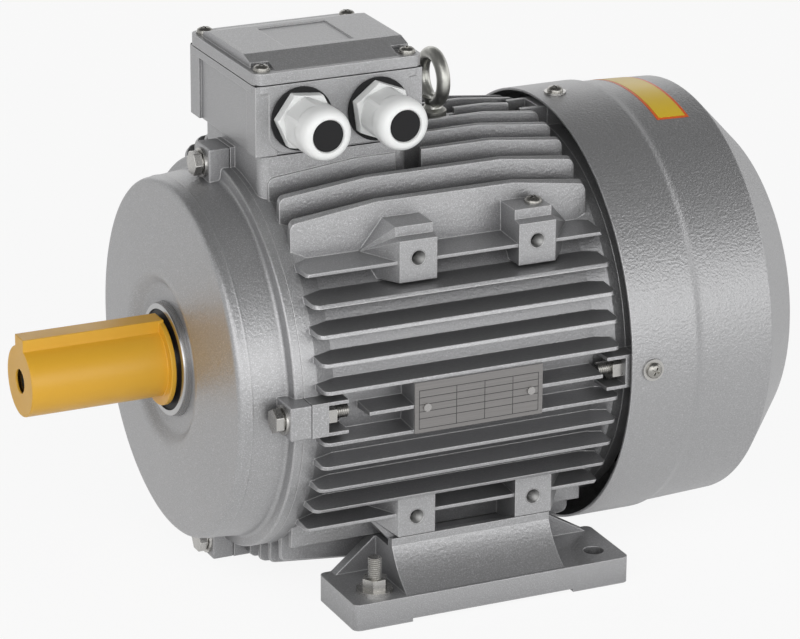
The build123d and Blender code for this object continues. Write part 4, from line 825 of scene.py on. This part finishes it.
COVER_OUTLINE = [
    (127.6, 81.5), (127.8, 81.3), (129.0, 81.3), (129.2, 81.5), (129.2, 121.6), (129.14, 122.7),
    (128.9, 123.8), (128.5, 124.9), (128.05, 126.0), (127.7, 127.2), (127.48, 128.5), (127.36, 130.5),
    (125.74, 173.8), (125.6, 174.4), (125.2, 174.9), (98.3, 200.9), (97.2, 202.0), (95.6, 203.5),
    (93.9, 204.5), (91.8, 205.0), (0, 205.0), (0, 203.4), (91.6, 203.4), (93.4, 202.7), (96.6, 200.0),
    (124.0, 173.4), (125.7, 130.3), (126.4, 126.9), (127.3, 123.8), (127.6, 121.4),
]


def bolt_lugs():
    """Four lugs round the shield's rear edge."""
    lugs = bmesh.new()
    for turn in range(4):
        lug = block(at_mm(22.5, 20, 13), Matrix.Translation(at_mm(114.25, 0, -122.5)))
        bmesh.ops.bevel(lug, geom=lug.edges[:], offset=1.0 * MM, offset_type="OFFSET", segments=3,
                        profile=0.5, affect="EDGES", material=-1)
        bmesh.ops.transform(lug, matrix=Matrix.Rotation(turn * math.pi / 2, 4, "Z"), verts=lug.verts)
        merge(lugs, lug)
    return lugs


def lug_holes():
    """Cutter for the bolt holes through the four lugs."""
    holes = bmesh.new()
    for turn in range(4):
        hole = spun(in_mm([(0, -132), (4.25, -132), (4.25, -112), (0, -112)]), 40)
        place = Matrix.Rotation(turn * math.pi / 2, 4, "Z") @ Matrix.Translation((LUG_BOLT_R, 0, 0))
        bmesh.ops.transform(hole, matrix=place, verts=hole.verts)
        merge(holes, hole)
    return holes


def inner_ribs():
    """Six ribs between the shield's bearing seat and its rim."""
    ribs = bmesh.new()
    for turn in range(6):
        spin = Matrix.Rotation(math.radians(30 + 60 * turn), 4, "Z")
        merge(ribs, block(at_mm(51, 5, 11), spin @ Matrix.Translation(at_mm(76.5, 0, -139.8))))
    return ribs


def drive_shield():
    """Cast drum with a rolled front edge, a dished moat, four lugs and ribs, and its turned lip."""
    added = bolt_lugs()
    merge(added, inner_ribs())
    drum = through_boolean(spun(in_mm(DRUM_OUTLINE), 192), added, "UNION")
    drum = through_boolean(drum, lug_holes(), "DIFFERENCE")
    aim(drum, SHAFT_CENTRE, ALONG_SHAFT)
    make_piece("drive_shield_cast", drum, cast_paint, "housing", ("drive_end_shield",))
    lip = aim(spun(in_mm(LIP_OUTLINE), 128), SHAFT_CENTRE, ALONG_SHAFT)
    make_piece("drive_lip_turned", lip, machined, "housing")


def grille_slots():
    """Cutter for four rings of air slots, kept apart by a cross of two bars."""
    half_slot = 4
    slots = bmesh.new()
    for middle in (26, 42, 58, 74):
        inner, outer = middle - half_slot, middle + half_slot
        merge(slots, spun(in_mm([(inner, 200), (outer, 200), (outer, 208), (inner, 208)]), 96))
    for turn in (0, math.pi / 2):
        place = Matrix.Translation(at_mm(0, 0, 204)) @ Matrix.Rotation(turn, 4, "Z")
        slots = through_boolean(slots, block(at_mm(200, 9, 30), place), "DIFFERENCE")
    return slots


def fan_cover():
    """Deep-drawn sheet cover: soft roll behind the rim, crisp shoulder, cone and slotted grille."""
    sheet = through_boolean(spun(in_mm(COVER_OUTLINE), 160), grille_slots(), "DIFFERENCE")
    aim(sheet, SHAFT_CENTRE, ALONG_SHAFT)
    make_piece("fan_cover_drawn", sheet, sheet_paint, "housing", ("fan_cover",))


# Stage

def set_stage():
    """White floor that shows the camera mostly its own glow, with a trace of the soft shadow."""
    glow_share = 0.9
    mirrored_share = 0.75
    floor_shape = bmesh.new()
    bmesh.ops.create_grid(floor_shape, x_segments=1, y_segments=1, size=12)
    mesh = bpy.data.meshes.new("floor")
    floor_shape.to_mesh(mesh)
    floor_shape.free()
    floor = bpy.data.objects.new("floor", mesh)
    bpy.context.collection.objects.link(floor)
    finish = Finish("floor_white", (0.86, 0.86, 0.86), 0.9)
    cloud = finish.group(mottle, Scale=3.0)
    finish.vary_roughness(cloud.outputs["Cloud"], 0.85, 0.95)
    tree = finish.tree
    glow = node(tree, "ShaderNodeEmission")
    path = node(tree, "ShaderNodeLightPath")
    mix = node(tree, "ShaderNodeMixShader")
    mirrored = maths(tree, "MULTIPLY", path.outputs["Is Glossy Ray"], mirrored_share)
    seen = maths(tree, "MAXIMUM", path.outputs["Is Camera Ray"], mirrored)
    seen = maths(tree, "MAXIMUM", seen, path.outputs["Is Transmission Ray"])
    tree.links.new(maths(tree, "MULTIPLY", seen, glow_share), mix.inputs[0])
    tree.links.new(finish.shader.outputs[0], mix.inputs[1])
    tree.links.new(glow.outputs[0], mix.inputs[2])
    tree.links.new(mix.outputs[0], tree.nodes["Material Output"].inputs["Surface"])
    floor.data.materials.append(finish.material)


def area_light(name, place, width, height, power):
    """Soft rectangular lamp aimed at the middle of the motor."""
    middle = Vector((0, 0, 0.15))
    data = bpy.data.lights.new(name, "AREA")
    data.shape = "RECTANGLE"
    data.size = width
    data.size_y = height
    data.energy = power
    lamp = bpy.data.objects.new(name, data)
    lamp.location = place
    lamp.rotation_euler = (Vector(place) - middle).to_track_quat("Z", "Y").to_euler()
    bpy.context.collection.objects.link(lamp)


def set_lights():
    """Low soft lamps all round and a surround that is pale at the sides and dark overhead."""
    pale_strength, pale_below = 0.68, 0.32
    dark_strength, dark_above = 0.12, 0.72
    area_light("front_lamp", (0.7, -2.0, 0.6), 2.4, 1.1, 11)
    area_light("left_lamp", (-1.3, -1.7, 1.15), 2.7, 2.1, 27)
    area_light("right_lamp", (2.2, -0.3, 0.8), 1.2, 1.2, 4)
    area_light("back_lamp", (0.5, 2.4, 0.9), 2.2, 1.4, 6)
    world = bpy.data.worlds.new("surround")
    bpy.context.scene.world = world
    world.use_nodes = True
    tree = world.node_tree
    background = tree.nodes["Background"]
    path = node(tree, "ShaderNodeLightPath")
    seen = maths(tree, "MAXIMUM", path.outputs["Is Camera Ray"], path.outputs["Is Transmission Ray"])
    direction = node(tree, "ShaderNodeTexCoord")
    height = node(tree, "ShaderNodeSeparateXYZ")
    dimmed = node(tree, "ShaderNodeMapRange", interpolation_type="SMOOTHSTEP")
    dimmed.inputs["From Min"].default_value = pale_below
    dimmed.inputs["From Max"].default_value = dark_above
    dimmed.inputs["To Min"].default_value = pale_strength
    dimmed.inputs["To Max"].default_value = dark_strength
    tree.links.new(direction.outputs["Generated"], height.inputs[0])
    tree.links.new(height.outputs["Z"], dimmed.inputs["Value"])
    background.inputs["Color"].default_value = (1, 1, 1, 1)
    tree.links.new(maths(tree, "MAXIMUM", seen, dimmed.outputs[0]), background.inputs["Strength"])


bpy.context.scene.view_settings.view_transform = "Standard"
set_camera()
paint_cad_nodes()

for node_name, width in (("near_foot", 1.8 * MM), ("far_foot", 1.8 * MM), ("terminal_box", 0.5 * MM),
                         ("terminal_box_lid", 0.5 * MM), ("stator_frame", 0.4 * MM)):
    make_piece(node_name + "_cast", eased_copy(node_name, width), cast_paint, "housing",
               (node_name,))
drive_shield()
fan_cover()
make_piece("shaft_sleeve_moulded", eased_copy("shaft_sleeve", 0.5 * MM), sleeve_yellow, "sleeve",
           ("shaft_sleeve",))

shield_bolts("front_shield_bolts_threaded", -130.6 * MM, -1, ("front_shield_bolts",))
shield_bolts("rear_shield_bolts_threaded", 104.5 * MM, 1, ("rear_shield_bolts",))
earth_terminal()
cross_screws("lid_screws_cross",
             [(at_mm(x, y, 310.4), UPWARD) for x in (-109.8, -20.8) for y in (-41.5, 41.5)],
             4.5 * MM, 2.6 * MM, ("lid_screws",), washer=(4.9 * MM, 0.9 * MM))
# The fan cover has no screw at the bottom
cross_screws("cover_screws_cross",
             [(SHAFT_CENTRE + side * 130.4 * MM + ALONG_SHAFT * 94.5 * MM, side) for side in QUARTERS[:3]],
             4.75 * MM, 2.9 * MM, ("cover_screws",))
cross_screws("pad_screw_cross", [(at_mm(38, -86, 227.7), UPWARD)], 5.2 * MM, 3.2 * MM, ("pad_screw",))
lifting_eye()
glands()
plate_rules()
cover_sticker()
tapped_holes()

set_stage()
set_lights()
